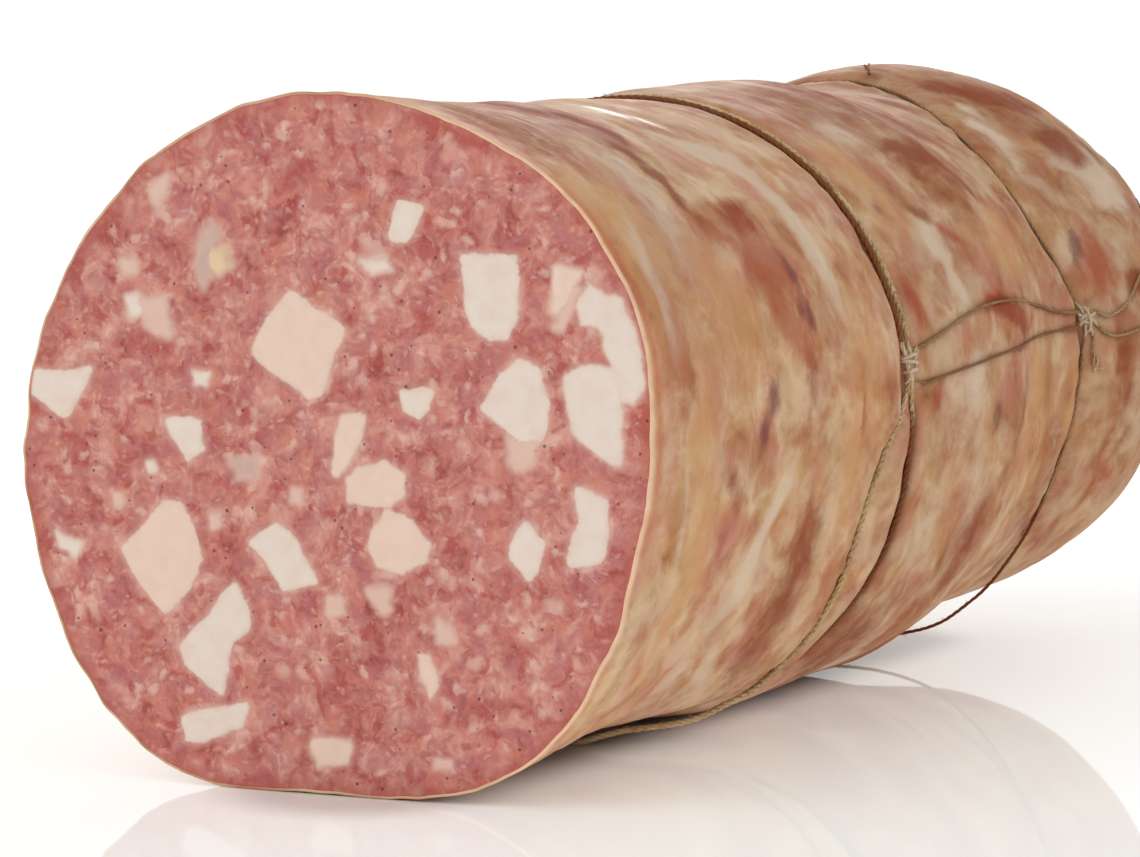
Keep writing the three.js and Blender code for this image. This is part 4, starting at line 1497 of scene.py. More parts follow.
@dataclass(frozen=True)
class FatPiece:
    """One piece of back fat in the cut: its corners across the cut and up from the table."""

    tone: FatTone
    corners: tuple[tuple[float, float], ...]
    softness: float
    rounding: float

    def reach(self, across: Array, height: Array) -> Array:
        """Signed distance from the piece's outline.

        Args:
            across: Millimetres to the right along the cut.
            height: Millimetres above the table.

        Returns:
            Millimetres outside it, negative inside.
        """
        ring = np.array(self.corners, float)
        middle = ring.mean(0)
        arms = ring - middle
        length = np.maximum(np.linalg.norm(arms, axis=1, keepdims=True), 1e-6)
        ring = middle + arms * np.maximum(1 - 1.2 * self.rounding / length, 0.1)
        nearest = np.full(across.shape, 1e9)
        inside = np.zeros(across.shape, bool)
        for (ax, az), (bx, bz) in zip(ring, np.roll(ring, -1, axis=0)):
            ex, ez = bx - ax, bz - az
            wx, wz = across - ax, height - az
            part = np.clip((wx * ex + wz * ez) / max(ex * ex + ez * ez, 1e-9), 0, 1)
            nearest = np.minimum(nearest, np.hypot(wx - ex * part, wz - ez * part))
            crosses = (az > height) != (bz > height)
            inside ^= crosses & (across < ax + ex * (height - az) / (ez if ez else 1e-9))
        return np.where(inside, -nearest, nearest) - self.rounding


def fat_pieces(rows: dict[FatTone, Sequence[tuple]]) -> tuple[FatPiece, ...]:
    """Makes pieces from rows of softness, rounding and corners, by tone."""
    return tuple(FatPiece(tone, row[2:], *row[:2]) for tone, given in rows.items() for row in given)


FAT_PIECES: tuple[FatPiece, ...] = fat_pieces({
    FatTone.PINK: (
        (0.26, 0.7, (-7.5, 76), (1.3, 70.6), (-2.6, 60.3), (-4.6, 59.8), (-14, 65.6), (-14.3, 67.8),
         (-12, 72)),
        (0.7, 0.7, (35.1, 80.4), (38.9, 80.2), (38.2, 77), (36.2, 74.3), (34.4, 73), (34, 76.4)),
        (0.35, 0.7, (0.3, 57.7), (4.4, 57.8), (3.6, 54), (1.1, 49.4), (-0.6, 48), (-0.7, 52.3)),
        (0.3, 0.7, (1, 48), (2.7, 49.7), (7.6, 51), (10.8, 49), (11, 46), (9.2, 44.3), (1, 44.4)),
        (0.3, 0.7, (5, 40.5), (7.6, 44.2), (11.8, 42.4), (15, 38.7), (14.2, 36), (10, 33.8), (5.9, 34.7),
         (4.7, 37.5)),
        (0.22, 0.7, (-36.9, 35.6), (-29.2, 43.8), (-26.6, 43.9), (-24, 39.3), (-22.7, 34.7), (-25.1, 30),
         (-29.4, 26.2), (-33.7, 30.4)),
        (0.45, 0.7, (-5, 8.4), (2.6, 8.2), (1.6, 5.5), (-3.8, 4.3)),
        (0.35, 0.4, (13, 22.4), (14.4, 22.4), (16.3, 18.6), (15.2, 15.3), (13.2, 18.4)),
    ),
    FatTone.CREAM: (
        (0.26, 0.7, (20.2, 82), (28.6, 82.2), (29.5, 79), (29.2, 72.5), (27, 69.3), (24.4, 69),
         (21.4, 71.4), (20.3, 74)),
        (0.26, 0.7, (29.4, 67), (32.6, 65.6), (34.5, 60.2), (32.6, 54.3), (30.2, 53.7), (23, 59.1),
         (26.2, 64.4)),
        (0.4, 0.7, (36.4, 64.9), (38.8, 66), (42.6, 66.4), (45.4, 66), (45.5, 60.5), (45.3, 51.6),
         (44.2, 51.6), (40.3, 54), (37.8, 56), (36.6, 60.5)),
        (0.45, 0.4, (40, 78.4), (42.6, 76.8), (45.4, 76.4), (46.8, 72.4), (48.6, 66.5), (48.7, 63.2),
         (47.4, 60.4), (45.6, 60.8), (44.9, 64.3), (43.4, 67.2), (42.4, 70.6), (41.2, 72.1), (39.2, 72.5),
         (38.7, 75.5)),
        (0.26, 0.7, (38.1, 48.2), (40.7, 47.7), (43.2, 46.6), (42.8, 38.6), (41.7, 37), (37, 36.4),
         (37.6, 40.5), (38.5, 43.5)),
        (0.25, 0.7, (30.2, 43.3), (33.4, 40.3), (32.5, 35.9), (30.6, 34.1), (27.7, 37.1), (27.4, 39.3)),
        (0.25, 0.7, (10, 61.7), (15.7, 61.9), (15, 58.8), (13, 57.2), (10.5, 58.3)),
        (0.26, 0.7, (-14.9, 38.1), (-10.5, 41.3), (-8, 40), (-3.5, 32.3), (-9, 30.3), (-12.4, 34.5)),
        (0.26, 0.7, (-29.2, 56), (-24.8, 57), (-22.9, 56.1), (-22.4, 51.5), (-25.2, 49.4), (-27.5, 52.1)),
        (0.26, 0.7, (-51.6, 62.5), (-41.3, 63.3), (-42.8, 60.8), (-45.8, 55.9), (-47.2, 55.8),
         (-52.4, 59.4)),
        (0.26, 0.7, (-27.4, 20.7), (-17.2, 31.9), (-15, 27.5), (-14.8, 25.2), (-17.5, 22.8), (-20.1, 14),
         (-26.1, 18.4)),
        (0.3, 0.7, (-27.2, 9.9), (-22.7, 12.2), (-14.8, 12.7), (-15.9, 10.2), (-23.6, 6.5), (-26.2, 6.8)),
        (0.2, 0.7, (10.2, 89.6), (13.9, 89.2), (13.2, 86.1), (11, 83.2), (8.5, 83.7), (8.8, 86.6)),
        (0.8, 0.4, (-22.8, 81), (-21.6, 82.4), (-21.4, 78), (-22.6, 76.4), (-23.6, 78.6)),
        (0.5, 0.4, (-48.4, 38.3), (-43.5, 36.1), (-44.3, 34), (-47.6, 35.4)),
        (0.4, 0.4, (-32.6, 49.4), (-31, 49.8), (-30.8, 47.8), (-32.2, 47.4)),
        (0.8, 0.7, (-35.4, 74.6), (-33, 75.2), (-32.4, 71.8), (-35, 71.2)),
        (0.7, 0.4, (3.6, 80.8), (8.6, 81.2), (9.4, 79.6), (5, 79)),
        (0.5, 0.4, (-24.4, 63.6), (-21.6, 63.6), (-21.6, 61.2), (-24.2, 61.2)),
    ),
    FatTone.ROSE: (
        (0.9, 0.7, (27, 55), (32.6, 55), (31, 50.5), (28.6, 50.7)),
        (0.7, 0.3, (38.2, 77.8), (39.3, 77), (35.4, 71), (34.2, 71.6)),
        (0.5, 0.7, (-2.2, 30.4), (0.6, 30.6), (0.8, 27.8), (-1.8, 27.4)),
        (0.9, 0.7, (4.8, 32.4), (8.6, 31.6), (8.8, 28.6), (6.8, 27.6)),
        (0.5, 0.4, (-21.6, 42), (-20, 42.2), (-19.6, 40), (-21.4, 39.6)),
        (0.5, 0.4, (-38.2, 44.2), (-36.4, 44.2), (-36.4, 42.4), (-38, 42.4)),
        (0.6, 0.4, (-7.8, 46.6), (-6, 46.6), (-6, 44), (-7.8, 44)),
        (0.9, 0.7, (-36.6, 80.2), (-33, 80.6), (-32.8, 78.4), (-36, 78)),
        (0.9, 0.7, (-34, 74.4), (-30, 74.8), (-27.8, 69.2), (-30.6, 68.4), (-33, 70.6)),
        (1.0, 0.7, (-31.6, 91), (-28, 93), (-27.4, 90.4), (-30.6, 88.8)),
        (0.6, 0.4, (15.8, 6.8), (18, 6.8), (18, 5), (15.8, 5)),
        (0.8, 0.4, (15.6, 26.8), (18.6, 27), (18.8, 24.2), (16, 24)),
    ),
    FatTone.GREY: (
        (1.0, 0.4, (-22.4, 84.6), (-20.6, 86), (-20, 82.4), (-21, 77.4), (-22.6, 75.6), (-24.2, 79.4)),
        (0.9, 0.7, (-18, 50.4), (-13.6, 50.2), (-13.4, 47.4), (-17.4, 47)),
    ),
    FatTone.YELLOW: (
        (1.3, 0.7, (-21.4, 81.4), (-18.4, 82.4), (-17.4, 80), (-19.6, 78), (-21.6, 78.8)),
    ),
})

LEAN_PIECES: tuple[FatPiece, ...] = fat_pieces({
    FatTone.LEAN: (
        (0.6, 0.7, (-46.8, 53), (-42.6, 53.4), (-42.8, 48.4), (-47.2, 48.6)),
        (1.2, 0.7, (-40, 86.6), (-36, 87.6), (-36.6, 82.6), (-40.4, 82)),
        (1.3, 0.7, (-35.6, 68.6), (-28, 69.4), (-28, 66.4), (-35, 65.8)),
        (0.7, 0.3, (12, 102.8), (18, 101.4), (25, 97.4), (20, 97.8), (15, 99.8)),
        (0.8, 0.7, (-2, 17.4), (0.6, 17.6), (0.4, 15), (-1.8, 14.8)),
        (0.6, 0.4, (46.8, 58.8), (49.6, 59.2), (50.2, 55.6), (47.8, 55)),
        (1.0, 0.7, (12.6, 73), (15, 73.4), (15.4, 70.6), (13, 70.2)),
        (1.2, 0.7, (-10.6, 93), (-3.6, 95.6), (-2.4, 93.6), (-9, 91.2)),
    ),
})


@dataclass
class CutFace:
    """The sliced face of the meat, a closed plate set into the casing's lip."""

    casing: SalamiCasing
    placement: Placement
    grid_steps: int = 292
    thickness: float = 2.6
    inset: float = 0.3
    mince_height: float = 0.13
    fat_height: float = 0.06
    seed: int = 41
    pieces: tuple[FatPiece, ...] = FAT_PIECES
    lean_pieces: tuple[FatPiece, ...] = LEAN_PIECES

    def round_off(self, square: Array) -> tuple[Array, Array]:
        """Maps a square grid onto a disc, keeping its cells even.

        Args:
            square: Grid places from -1 to 1, one row each.

        Returns:
            Radius from 0 to 1 and angle in radians of each.
        """
        a, b = square[:, 0], square[:, 1]
        wide = np.abs(a) > np.abs(b)
        main = np.where(wide, a, b)
        other = np.where(wide, b, a)
        slope = 0.25 * math.pi * other / np.where(main == 0, 1, main)
        angle = np.where(wide, slope, 0.5 * math.pi - slope)
        return np.abs(main), np.where(main < 0, angle + math.pi, angle)

    def shape(self) -> tuple[bmesh.types.BMesh, dict[str, Array]]:
        """Makes the plate: a fine grid bent to the cut's outline, with a wall and a back.

        Returns:
            The mesh in metres in the row frame, and its attributes.
        """
        form = self.casing.form
        plate = bmesh.new()
        bmesh.ops.create_grid(plate, x_segments=self.grid_steps, y_segments=self.grid_steps, size=1)
        radius, angle = self.round_off(vertex_places(plate))
        centre = form.axis(np.zeros(1))[0]
        edge = self.casing.cut_edge(angle)
        spoke = (edge - centre) * (1, 0, 1)
        reach = np.linalg.norm(spoke, axis=1, keepdims=True)
        spoke *= (reach - self.inset) / reach
        front = centre + spoke * radius[:, None]
        front[:, 1] = form.cut_slope * front[:, 0]
        across = front[:, 0] / math.cos(math.radians(form.cut_angle))
        gap = (1 - radius) * reach[:, 0]
        attributes = self.fat_attributes(across, front[:, 2])
        attributes["cut_place"] = np.stack([across, front[:, 2], np.zeros_like(across)], axis=1)
        attributes["rim_gap"] = gap
        lift = self.relief(across, front[:, 2], attributes["fat_reach"], gap)
        move_vertices(plate, self.placement.metres(front - form.cut_inward * lift[:, None]))
        rim = [edge for edge in plate.edges if edge.is_boundary]
        wall = bmesh.ops.extrude_edge_only(plate, edges=rim)["geom"]
        shift = Vector(form.cut_inward * self.thickness * MILLIMETRE)
        bmesh.ops.translate(plate, verts=[v for v in wall if isinstance(v, bmesh.types.BMVert)], vec=shift)
        back = [edge for edge in plate.edges if edge.is_boundary]
        bmesh.ops.contextual_create(plate, geom=back)
        return plate, attributes

    def fat_attributes(self, across: Array, height: Array) -> dict[str, Array]:
        """Distance to the nearest piece of fat, with its softness and colour.

        Args:
            across: Millimetres to the right along the cut.
            height: Millimetres above the table.

        Returns:
            The attributes by name.
        """
        noise = LatticeNoise(self.seed)
        flat = np.stack([across, height, np.zeros_like(across)], axis=1)
        bend_x = noise.layered(flat, (3.0, 3.0, 1), 2) - 0.5
        bend_z = noise.layered(flat + 40, (3.0, 3.0, 1), 2) - 0.5
        nearest = np.full(across.shape, 50.0)
        softness = np.full(across.shape, 0.2)
        colour = np.tile(paint(FatTone.CREAM.value), (len(across), 1))
        for piece in self.pieces:
            bend = 0.5 + 1.7 * piece.softness
            reach = piece.reach(across + bend * bend_x, height + bend * bend_z)
            closer = reach < nearest
            nearest = np.where(closer, reach, nearest)
            softness = np.where(closer, piece.softness, softness)
            colour[closer] = paint(piece.tone.value)
        lean = np.zeros(across.shape)
        for piece in self.lean_pieces:
            reach = piece.reach(across + 2.4 * bend_x, height + 2.4 * bend_z)
            lean = np.maximum(lean, smoothstep(-reach, -piece.softness, piece.softness))
        return {"fat_reach": nearest, "fat_softness": softness, "fat_colour": colour, "lean_bit": lean}

    def relief(self, across: Array, height: Array, reach: Array, gap: Array) -> Array:
        """Height of the cut's grain: pitted mince and smoother fat.

        Args:
            across: Millimetres to the right along the cut.
            height: Millimetres above the table.
            reach: Distance from the nearest fat.
            gap: Distance from the edge of the cut.

        Returns:
            Millimetres towards the viewer for each vertex.
        """
        noise = LatticeNoise(self.seed + 1)
        flat = np.stack([across, height, np.zeros_like(across)], axis=1)
        grain = noise.layered(flat, (2.2, 2.2, 1), 3) - 0.5
        pit = smoothstep(noise.at(flat + 20, (1.5, 1.5, 1)), 0.74, 0.92)
        swell = noise.at(flat + 70, (17, 17, 1)) - 0.5
        mince = self.mince_height * 2 * grain - 1.8 * self.mince_height * pit
        in_fat = smoothstep(-reach, -0.1, 0.5)
        seam = 0.5 * self.mince_height * bell(reach - 0.15, 0.3)
        lift = mince * (1 - in_fat) + self.fat_height * in_fat - seam + 0.25 * swell
        return lift * smoothstep(gap, 0.0, 2.0)

    def build(self, finish: MinceFinish) -> bpy.types.Object:
        """Makes the cut face piece.

        Args:
            finish: Its finish.

        Returns:
            The cut face's object.
        """
        plate, attributes = self.shape()
        piece = finished_object("salami_cut_face", plate, finish.material(), ())
        count = len(piece.data.vertices)
        for name, values in attributes.items():
            spare = count - len(values)
            padded = np.concatenate([values, np.zeros((spare, *values.shape[1:]))])
            if name == "cut_place":
                padded[len(values):, 1] = -50
            store(piece.data, name, padded)
        return piece


# ---- the twine ----


@dataclass(frozen=True)
class Run:
    """One thread of a mesh: its middle line in millimetres and its radius."""

    line: Array
    radius: float


@dataclass(frozen=True)
class Strand:
    """One strand of twine over the casing, and the solid that it stands for.

    open_end tells how far its plies spread at its end, under how loosely it lies below the
    body, soaked how dark it is, and dark_from and dark_to the degrees round between which it
    is darkest: stained by the juices, and on the front and rear rings also painted shade where
    they sink into their grooves.
    """

    name: str
    node: str
    route: tuple[Place, ...]
    diameter: float
    open_end: float = 0.0
    under: float = 0.0
    soaked_and_shaded: float = 0.0
    dark_from: float = 0.0
    dark_to: float = 0.0


STRANDS: tuple[Strand, ...] = (
    # the front ring's dark stretch and the rear ring's below its knot are painted shade in their grooves as
    # well as stain
    Strand("front_ring_twine", "twine_front_ring", FRONT_RING, 1.15, 0.0, 1.0, 0.0, 2, 200),
    Strand("rear_ring_twine", "twine_rear_ring", REAR_RING, 1.15, dark_from=-100, dark_to=4),
    Strand("back_ring_twine", "twine_back_ring", BACK_RING, 0.66, 0.0, 0.5, 0.3, -120, -28),
    Strand("upper_link_twine", "twine_link_upper", LINK_UPPER, 0.56, soaked_and_shaded=0.15),
    Strand("lower_link_twine", "twine_link_lower", LINK_LOWER, 0.5, soaked_and_shaded=0.4),
    Strand("lower_end_twine", "twine_end_lower", END_STRAND_LOWER, 0.6),
    Strand("upper_end_twine", "twine_end_upper", END_STRAND_UPPER, 0.6),
    Strand("back_tail_twine", "twine_back_tail", BACK_TAIL, 0.7, open_end=1.3),
    Strand("top_nub_twine", "twine_top_nub", TOP_NUB, 0.7, open_end=0.6, soaked_and_shaded=0.5),
)


@dataclass
class TwineWork:
    """The butcher's twine: rings, links, knots, the end tie and their loose fibres."""

    casing: SalamiCasing
    placement: Placement
    diameter: float = 1.1
    plies: int = 3
    lay: float = 4.4
    step: float = 0.5
    sides_level: int = 1
    knot_size: float = 0.82
    fuzz_per_mm: float = 0.55
    fuzz_radius: float = 0.035
    fuzz_length: float = 1.5
    underside_slack: float = 2.6
    underside_push: float = 4.2
    seed: int = 77

    def __post_init__(self) -> None:
        """Starts the seeded draw that places the loose fibres."""
        self.draw = np.random.default_rng(self.seed)

    def on_casing(self, route: Sequence[Place], diameter: float, under: float = 0.0) -> Array:
        """The middle line of a strand that lies on the casing.

        Args:
            route: Degrees round, millimetres from the cut and slack.
            diameter: The strand's diameter.
            under: How loosely it hangs below the body, from 0 to 1.

        Returns:
            Points in millimetres, evenly spaced.
        """
        route_line = smooth_line(route, 60 * len(route))
        angle, along, slack = np.radians(route_line[:, 0]), route_line[:, 1], route_line[:, 2]
        proud = 0.3 * smoothstep(np.sin(angle), 0.6, 0.95)
        free = self.underside_slack * under * smoothstep(-np.sin(angle), 0.7, 0.93)
        reach = 0.45 * diameter + proud + free + np.maximum(slack, 0)
        lifted = self.casing.form.normal(angle, along) * reach[:, None]
        line = self.casing.surface(angle, along) + lifted
        low = smoothstep(-np.sin(angle), 0.84, 0.96) * smoothstep(np.cos(angle), 0.0, 0.15)
        line[:, 0] += self.underside_push * under * low
        line[:, 2] = np.maximum(line[:, 2], 0.5 * diameter + 0.05)
        return self.even(line)

    def soak_and_shade_share(self, strand: Strand, line: Array) -> Array:
        """How dark a strand is at each point of its middle line, from 0 to 1: juice stain, and painted shade
        in the grooves.
        """
        away = line - self.casing.form.axis(line[:, 1])
        turn = np.degrees(np.arctan2(away[:, 2], away[:, 0]))
        dark = smoothstep(turn, strand.dark_from, strand.dark_from + 15)
        dark = dark * (1 - smoothstep(turn, strand.dark_to - 8, strand.dark_to))
        if strand.dark_from == strand.dark_to:
            dark = np.zeros(len(line))
        return strand.soaked_and_shaded + (0.9 - strand.soaked_and_shaded) * dark

    def even(self, line: Array) -> Array:
        """Respaces a line's points to the twine's step."""
        lengths = np.append(0, np.cumsum(np.linalg.norm(np.diff(line, axis=0), axis=1)))
        count = max(4, int(lengths[-1] / self.step))
        wanted = np.linspace(0, lengths[-1], count + 1)
        return np.stack([np.interp(wanted, lengths, line[:, axis]) for axis in range(3)], axis=1)

    def frames(self, line: Array) -> tuple[Array, Array]:
        """Two directions across a line that don't twist about it.

        Args:
            line: Its points.

        Returns:
            Two unit vectors for each point, square to the line and to each other.
        """
        tangent = unit(np.gradient(line, axis=0))
        across = np.zeros_like(line)
        start = np.array([0.0, 1.0, 0.0]) if abs(tangent[0, 1]) < 0.8 else np.array([1.0, 0.0, 0.0])
        for index, direction in enumerate(tangent):
            start = start - direction * start.dot(direction)
            start /= np.linalg.norm(start)
            across[index] = start
        return across, np.cross(tangent, across)

    def spun(self, line: Array, diameter: float, open_end: float = 0.0) -> list[Run]:
        """Spins plies round a line.

        Args:
            line: The twine's middle line.
            diameter: The twine's diameter.
            open_end: How far the plies spread apart at its end, in diameters.

        Returns:
            One run for each ply, and its loose fibres.
        """
        across, over = self.frames(line)
        length = self.step * np.arange(len(line))
        ply_radius = 0.3 * diameter
        spread = (0.5 * diameter - ply_radius) * np.ones(len(line))
        spread += diameter * open_end * smoothstep(length, length[-1] * 0.4, length[-1]) ** 1.5
        uneven = 1 + 0.12 * np.sin(length * 1.3 + self.draw.uniform(0, 6)) * np.sin(length * 0.37)
        runs = []
        for ply in range(self.plies):
            phase = 2 * math.pi * (length / self.lay + ply / self.plies)
            offset = across * np.cos(phase)[:, None] + over * np.sin(phase)[:, None]
            runs.append(Run(line + offset * (spread * uneven)[:, None], ply_radius))
        runs.extend(self.fuzz(line, across, over, diameter))
        return runs

    def fuzz(self, line: Array, across: Array, over: Array, diameter: float) -> list[Run]:
        """Loose fibres that stand off a strand.

        Args:
            line: The strand's middle line.
            across: First direction across it.
            over: Second direction across it.
            diameter: The strand's diameter.

        Returns:
            One short bent run for each fibre.
        """
        runs = []
        for _ in range(int(len(line) * self.step * self.fuzz_per_mm)):
            index = int(self.draw.integers(1, len(line) - 2))
            turn = self.draw.uniform(0, 2 * math.pi)
            out = across[index] * math.cos(turn) + over[index] * math.sin(turn)
            along = (line[index + 1] - line[index - 1]) / (2 * self.step)
            length = self.fuzz_length * self.draw.uniform(0.35, 1.0)
            lean = along * self.draw.choice((-1, 1)) * self.draw.uniform(0.5, 1.4)
            root = line[index] + out * 0.38 * diameter
            bend = root + (out * 0.45 + lean * 0.35) * length * 0.6
            tip = bend + (out * self.draw.uniform(0.0, 0.5) + lean * 0.6) * length * 0.5
            fibre = np.array([root, bend, tip])
            if fibre[:, 2].min() > 0.1:
                runs.append(Run(fibre, self.fuzz_radius))
        return runs

    def mesh_of(self, name: str, runs: Sequence[Run]) -> bmesh.types.BMesh:
        """Sweeps every run as a round thread and gives one mesh.

        Args:
            name: Name for the passing curve.
            runs: The threads.

        Returns:
            The mesh in metres in the row frame.
        """
        curve = bpy.data.curves.new(name + "_threads", "CURVE")
        curve.dimensions = "3D"
        curve.bevel_depth = MILLIMETRE
        curve.bevel_resolution = self.sides_level
        curve.use_fill_caps = True
        for run in runs:
            spline = curve.splines.new("POLY")
            spline.points.add(len(run.line) - 1)
            places = np.ones((len(run.line), 4))
            places[:, :3] = self.placement.metres(run.line)
            spline.points.foreach_set("co", places.ravel())
            spline.points.foreach_set("radius", np.full(len(run.line), run.radius))
        holder = bpy.data.objects.new(name + "_threads", curve)
        swept = bpy.data.meshes.new_from_object(holder)
        shape = bmesh.new()
        shape.from_mesh(swept)
        bpy.data.objects.remove(holder)
        bpy.data.meshes.remove(swept)
        bmesh.ops.remove_doubles(shape, verts=shape.verts, dist=1e-7)
        return shape

    def piece(
        self, name: str, runs: Sequence[Run], core: Array, finish: bpy.types.Material, node: str,
        soaked_and_shaded: Array | float = 0.0, bleached: Array | float = 0.0,
    ) -> bpy.types.Object:
        """Makes one piece of twine.

        Args:
            name: The piece's name.
            runs: Its threads.
            core: Points on the middles of its strands, in millimetres.
            finish: The twine's material.
            node: The CAD node that it stands for.
            soaked_and_shaded: How dark it is, for each point of its core or for all of it.
            bleached: How pale it is, for each point of its core or for all of it.

        Returns:
            The piece's object.
        """
        made = finished_object(name, self.mesh_of(name, runs), finish, (node,))
        tree = sorted_tree(self.placement.metres(core))
        found = [tree.find(vertex.co) for vertex in made.data.vertices]
        away = np.array([distance for _, _, distance in found]) / MILLIMETRE
        nearest = np.array([index for _, index, _ in found])
        # painted shade: darker nearest the strand's middle, in the creases between the plies
        crease = 0.8 * (1 - smoothstep(away, 0.15 * self.diameter, 0.4 * self.diameter))
        store(made.data, "crease", crease)
        store(made.data, "soaked_and_shaded", np.broadcast_to(soaked_and_shaded, len(core))[nearest])
        store(made.data, "bleached", np.broadcast_to(bleached, len(core))[nearest])
        return made

    def knot_line(self, turn: float, along: float, places: Sequence[Place]) -> Array:
        """A line drawn over the casing by places along, up and out from a point of it.

        Args:
            turn: Degrees round of the point.
            along: Millimetres from the cut of the point.
            places: Millimetres along the body, up round it and out from it.

        Returns:
            Points in millimetres, evenly spaced.
        """
        drawn = self.knot_size * smooth_line(places, 12 * len(places))
        angle = math.radians(turn) + drawn[:, 1] / self.casing.form.body_radius
        forth = along + drawn[:, 0]
        out = self.casing.form.normal(angle, forth) * drawn[:, 2:]
        return self.even(self.casing.surface(angle, forth) + out)

    def loop(self, size: tuple[float, float], middle: Place, lean: float) -> tuple[Place, ...]:
        """Places of one closed turn of twine round a knot.

        Args:
            size: Half its length along the body and half its depth out from it.
            middle: Its middle along, up and out.
            lean: How far it climbs from one side to the other.

        Returns:
            Places along, up and out, a little more than one turn.
        """
        turns = np.linspace(0, 2.15 * math.pi, 14)
        return tuple(
            (
                middle[0] + size[0] * math.cos(turn),
                middle[1] + lean * math.cos(turn) + 0.35 * turn / math.pi,
                middle[2] + size[1] * math.sin(turn),
            )
            for turn in turns
        )

    def paleness(self, core: Array, turn: float, along: float) -> Array:
        """How pale the rubbed fibres of a knot are at its core's points, fading away from it."""
        middle = self.casing.surface(np.array([math.radians(turn)]), np.array([along]))[0]
        return 0.6 * (1 - smoothstep(np.linalg.norm(core - middle, axis=1), 2.2, 4.2))

    def front_knot(self, finish: bpy.types.Material) -> bpy.types.Object:
        """The knot where the double ring closes and the links leave."""
        at = (10.2, 96.0)
        # the double ring, three turns round it, and the starts of the links, each with its diameter
        threads = (
            (0.9, (
                (-0.7, 5.2, 0.4), (-0.5, 2.4, 0.9), (-0.4, 0, 1.0), (-0.9, -3.6, 0.8), (-3.7, -9.8, 0.55),
            )),
            (0.9, ((2.4, 5.8, 0.4), (0.8, 2.8, 0.9), (0.5, 0, 1.0), (0.6, -3.4, 0.7), (1.5, -9.9, 0.5))),
            (0.66, self.loop((1.5, 1.15), (0.0, 1.6, 0.9), 0.5)),
            (0.66, self.loop((1.6, 1.25), (0.1, 0.2, 0.9), -0.4)),
            (0.66, self.loop((1.4, 1.1), (0.1, -1.3, 0.9), 0.6)),
            (0.52, ((0.4, 1.6, 1.3), (2.6, 2.4, 0.7), (6.1, 3.2, 0.35))),
            (0.5, ((0.4, -1.8, 1.3), (2.6, -3.2, 0.7), (6.1, -4.5, 0.35))),
        )
        tails = (
            (0.55, ((0.4, 0.8, 1.6), (1.5, 1.9, 2.2), (2.2, 3.2, 2.1))),
            (0.55, ((-0.4, -1.0, 1.6), (-1.4, -2.4, 1.9), (-1.8, -4.0, 1.4))),
        )
        return self.knot("front_knot_twine", "twine_front_knot", at, threads, tails, finish)

    def back_knot(self, finish: bpy.types.Material) -> bpy.types.Object:
        """The knot on the second ring, with one upright wrap over the links."""
        wrap = tuple(
            (0.25 * math.sin(turn) + 0.1 * turn, 2.9 * math.cos(turn), 0.75 + 1.25 * math.sin(turn))
            for turn in np.linspace(-0.35 * math.pi, 1.45 * math.pi, 12)
        )
        lines = (
            wrap,
            self.loop((1.3, 0.8), (-0.1, 0.8, 0.7), 0.7),
            self.loop((1.2, 0.8), (-0.1, -0.9, 0.7), -0.6),
            ((-1.5, 5.2, 0.2), (-0.2, 2.0, 0.8), (-0.1, -1.5, 0.8), (-1.7, -8.0, 0.2)),
            ((-3.2, 2.4, 0.7), (-0.6, 0.8, 1.2), (1.2, 0, 1.1), (3.8, -2.5, 0.5)),
            ((-3.9, -1.1, 0.7), (-0.6, -0.3, 1.1), (1.2, 0.4, 1.1), (4.0, 0.9, 0.5)),
            ((0.2, -0.6, 1.2), (1.2, -2.6, 0.8), (1.7, -4.6, 0.3)),
        )
        threads = tuple((0.58, line) for line in lines)
        return self.knot("back_knot_twine", "twine_back_knot", (8.6, 174.6), threads, (), finish)

    def knot(
        self, name: str, node: str, at: tuple[float, float], threads: Sequence[tuple[float, Sequence[Place]]],
        tails: Sequence[tuple[float, Sequence[Place]]], finish: bpy.types.Material,
    ) -> bpy.types.Object:
        """Makes one knot from its threads and its frayed tails.

        Args:
            name: The piece's name.
            node: The CAD node that it stands for.
            at: Degrees round and millimetres from the cut of its middle.
            threads: Diameter and places of each thread.
            tails: Diameter and places of each frayed tail.
            finish: The twine's material.

        Returns:
            The knot's object.
        """
        drawn = [(self.knot_line(*at, places), size, 0.0) for size, places in threads]
        drawn += [(self.knot_line(*at, places), size, 0.9) for size, places in tails]
        runs = [run for line, size, spread in drawn for run in self.spun(line, size, spread)]
        core = np.vstack([line for line, _, _ in drawn])
        return self.piece(name, runs, core, finish, node, bleached=self.paleness(core, *at))

    def end_tie(self, finish: bpy.types.Material) -> bpy.types.Object:
        """Three turns drawn tight round the gathered neck."""
        form = self.casing.form
        low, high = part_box("twine_end_tie")
        start = low.y / MILLIMETRE - self.placement.shift_y
        centre = form.axis(np.full(1, form.dome_end))[0]
        turns = np.linspace(0, 6 * math.pi, 220)
        radius = form.neck_radius + 0.35 + 0.5 * self.diameter
        line = np.stack([
            centre[0] + radius * np.cos(turns),
            start + 0.5 * self.diameter + self.diameter * turns / (2 * math.pi),
            centre[2] + radius * np.sin(turns),
        ], axis=1)
        line = self.even(line)
        runs = self.spun(line, self.diameter)
        return self.piece("end_tie_twine", runs, line, finish, "twine_end_tie", 0.5)

    def build(self, finish: TwineFinish) -> list[bpy.types.Object]:
        """Makes every piece of twine.

        Args:
            finish: The twine's finish.

        Returns:
            Their objects.
        """
        look = finish.material()
        made = []
        for strand in STRANDS:
            line = self.on_casing(strand.route, strand.diameter, strand.under)
            runs = self.spun(line, strand.diameter, strand.open_end)
            soaked_and_shaded = self.soak_and_shade_share(strand, line)
            made.append(self.piece(strand.name, runs, line, look, strand.node, soaked_and_shaded))
        return [*made, self.front_knot(look), self.back_knot(look), self.end_tie(look)]


# ---- the studio ----


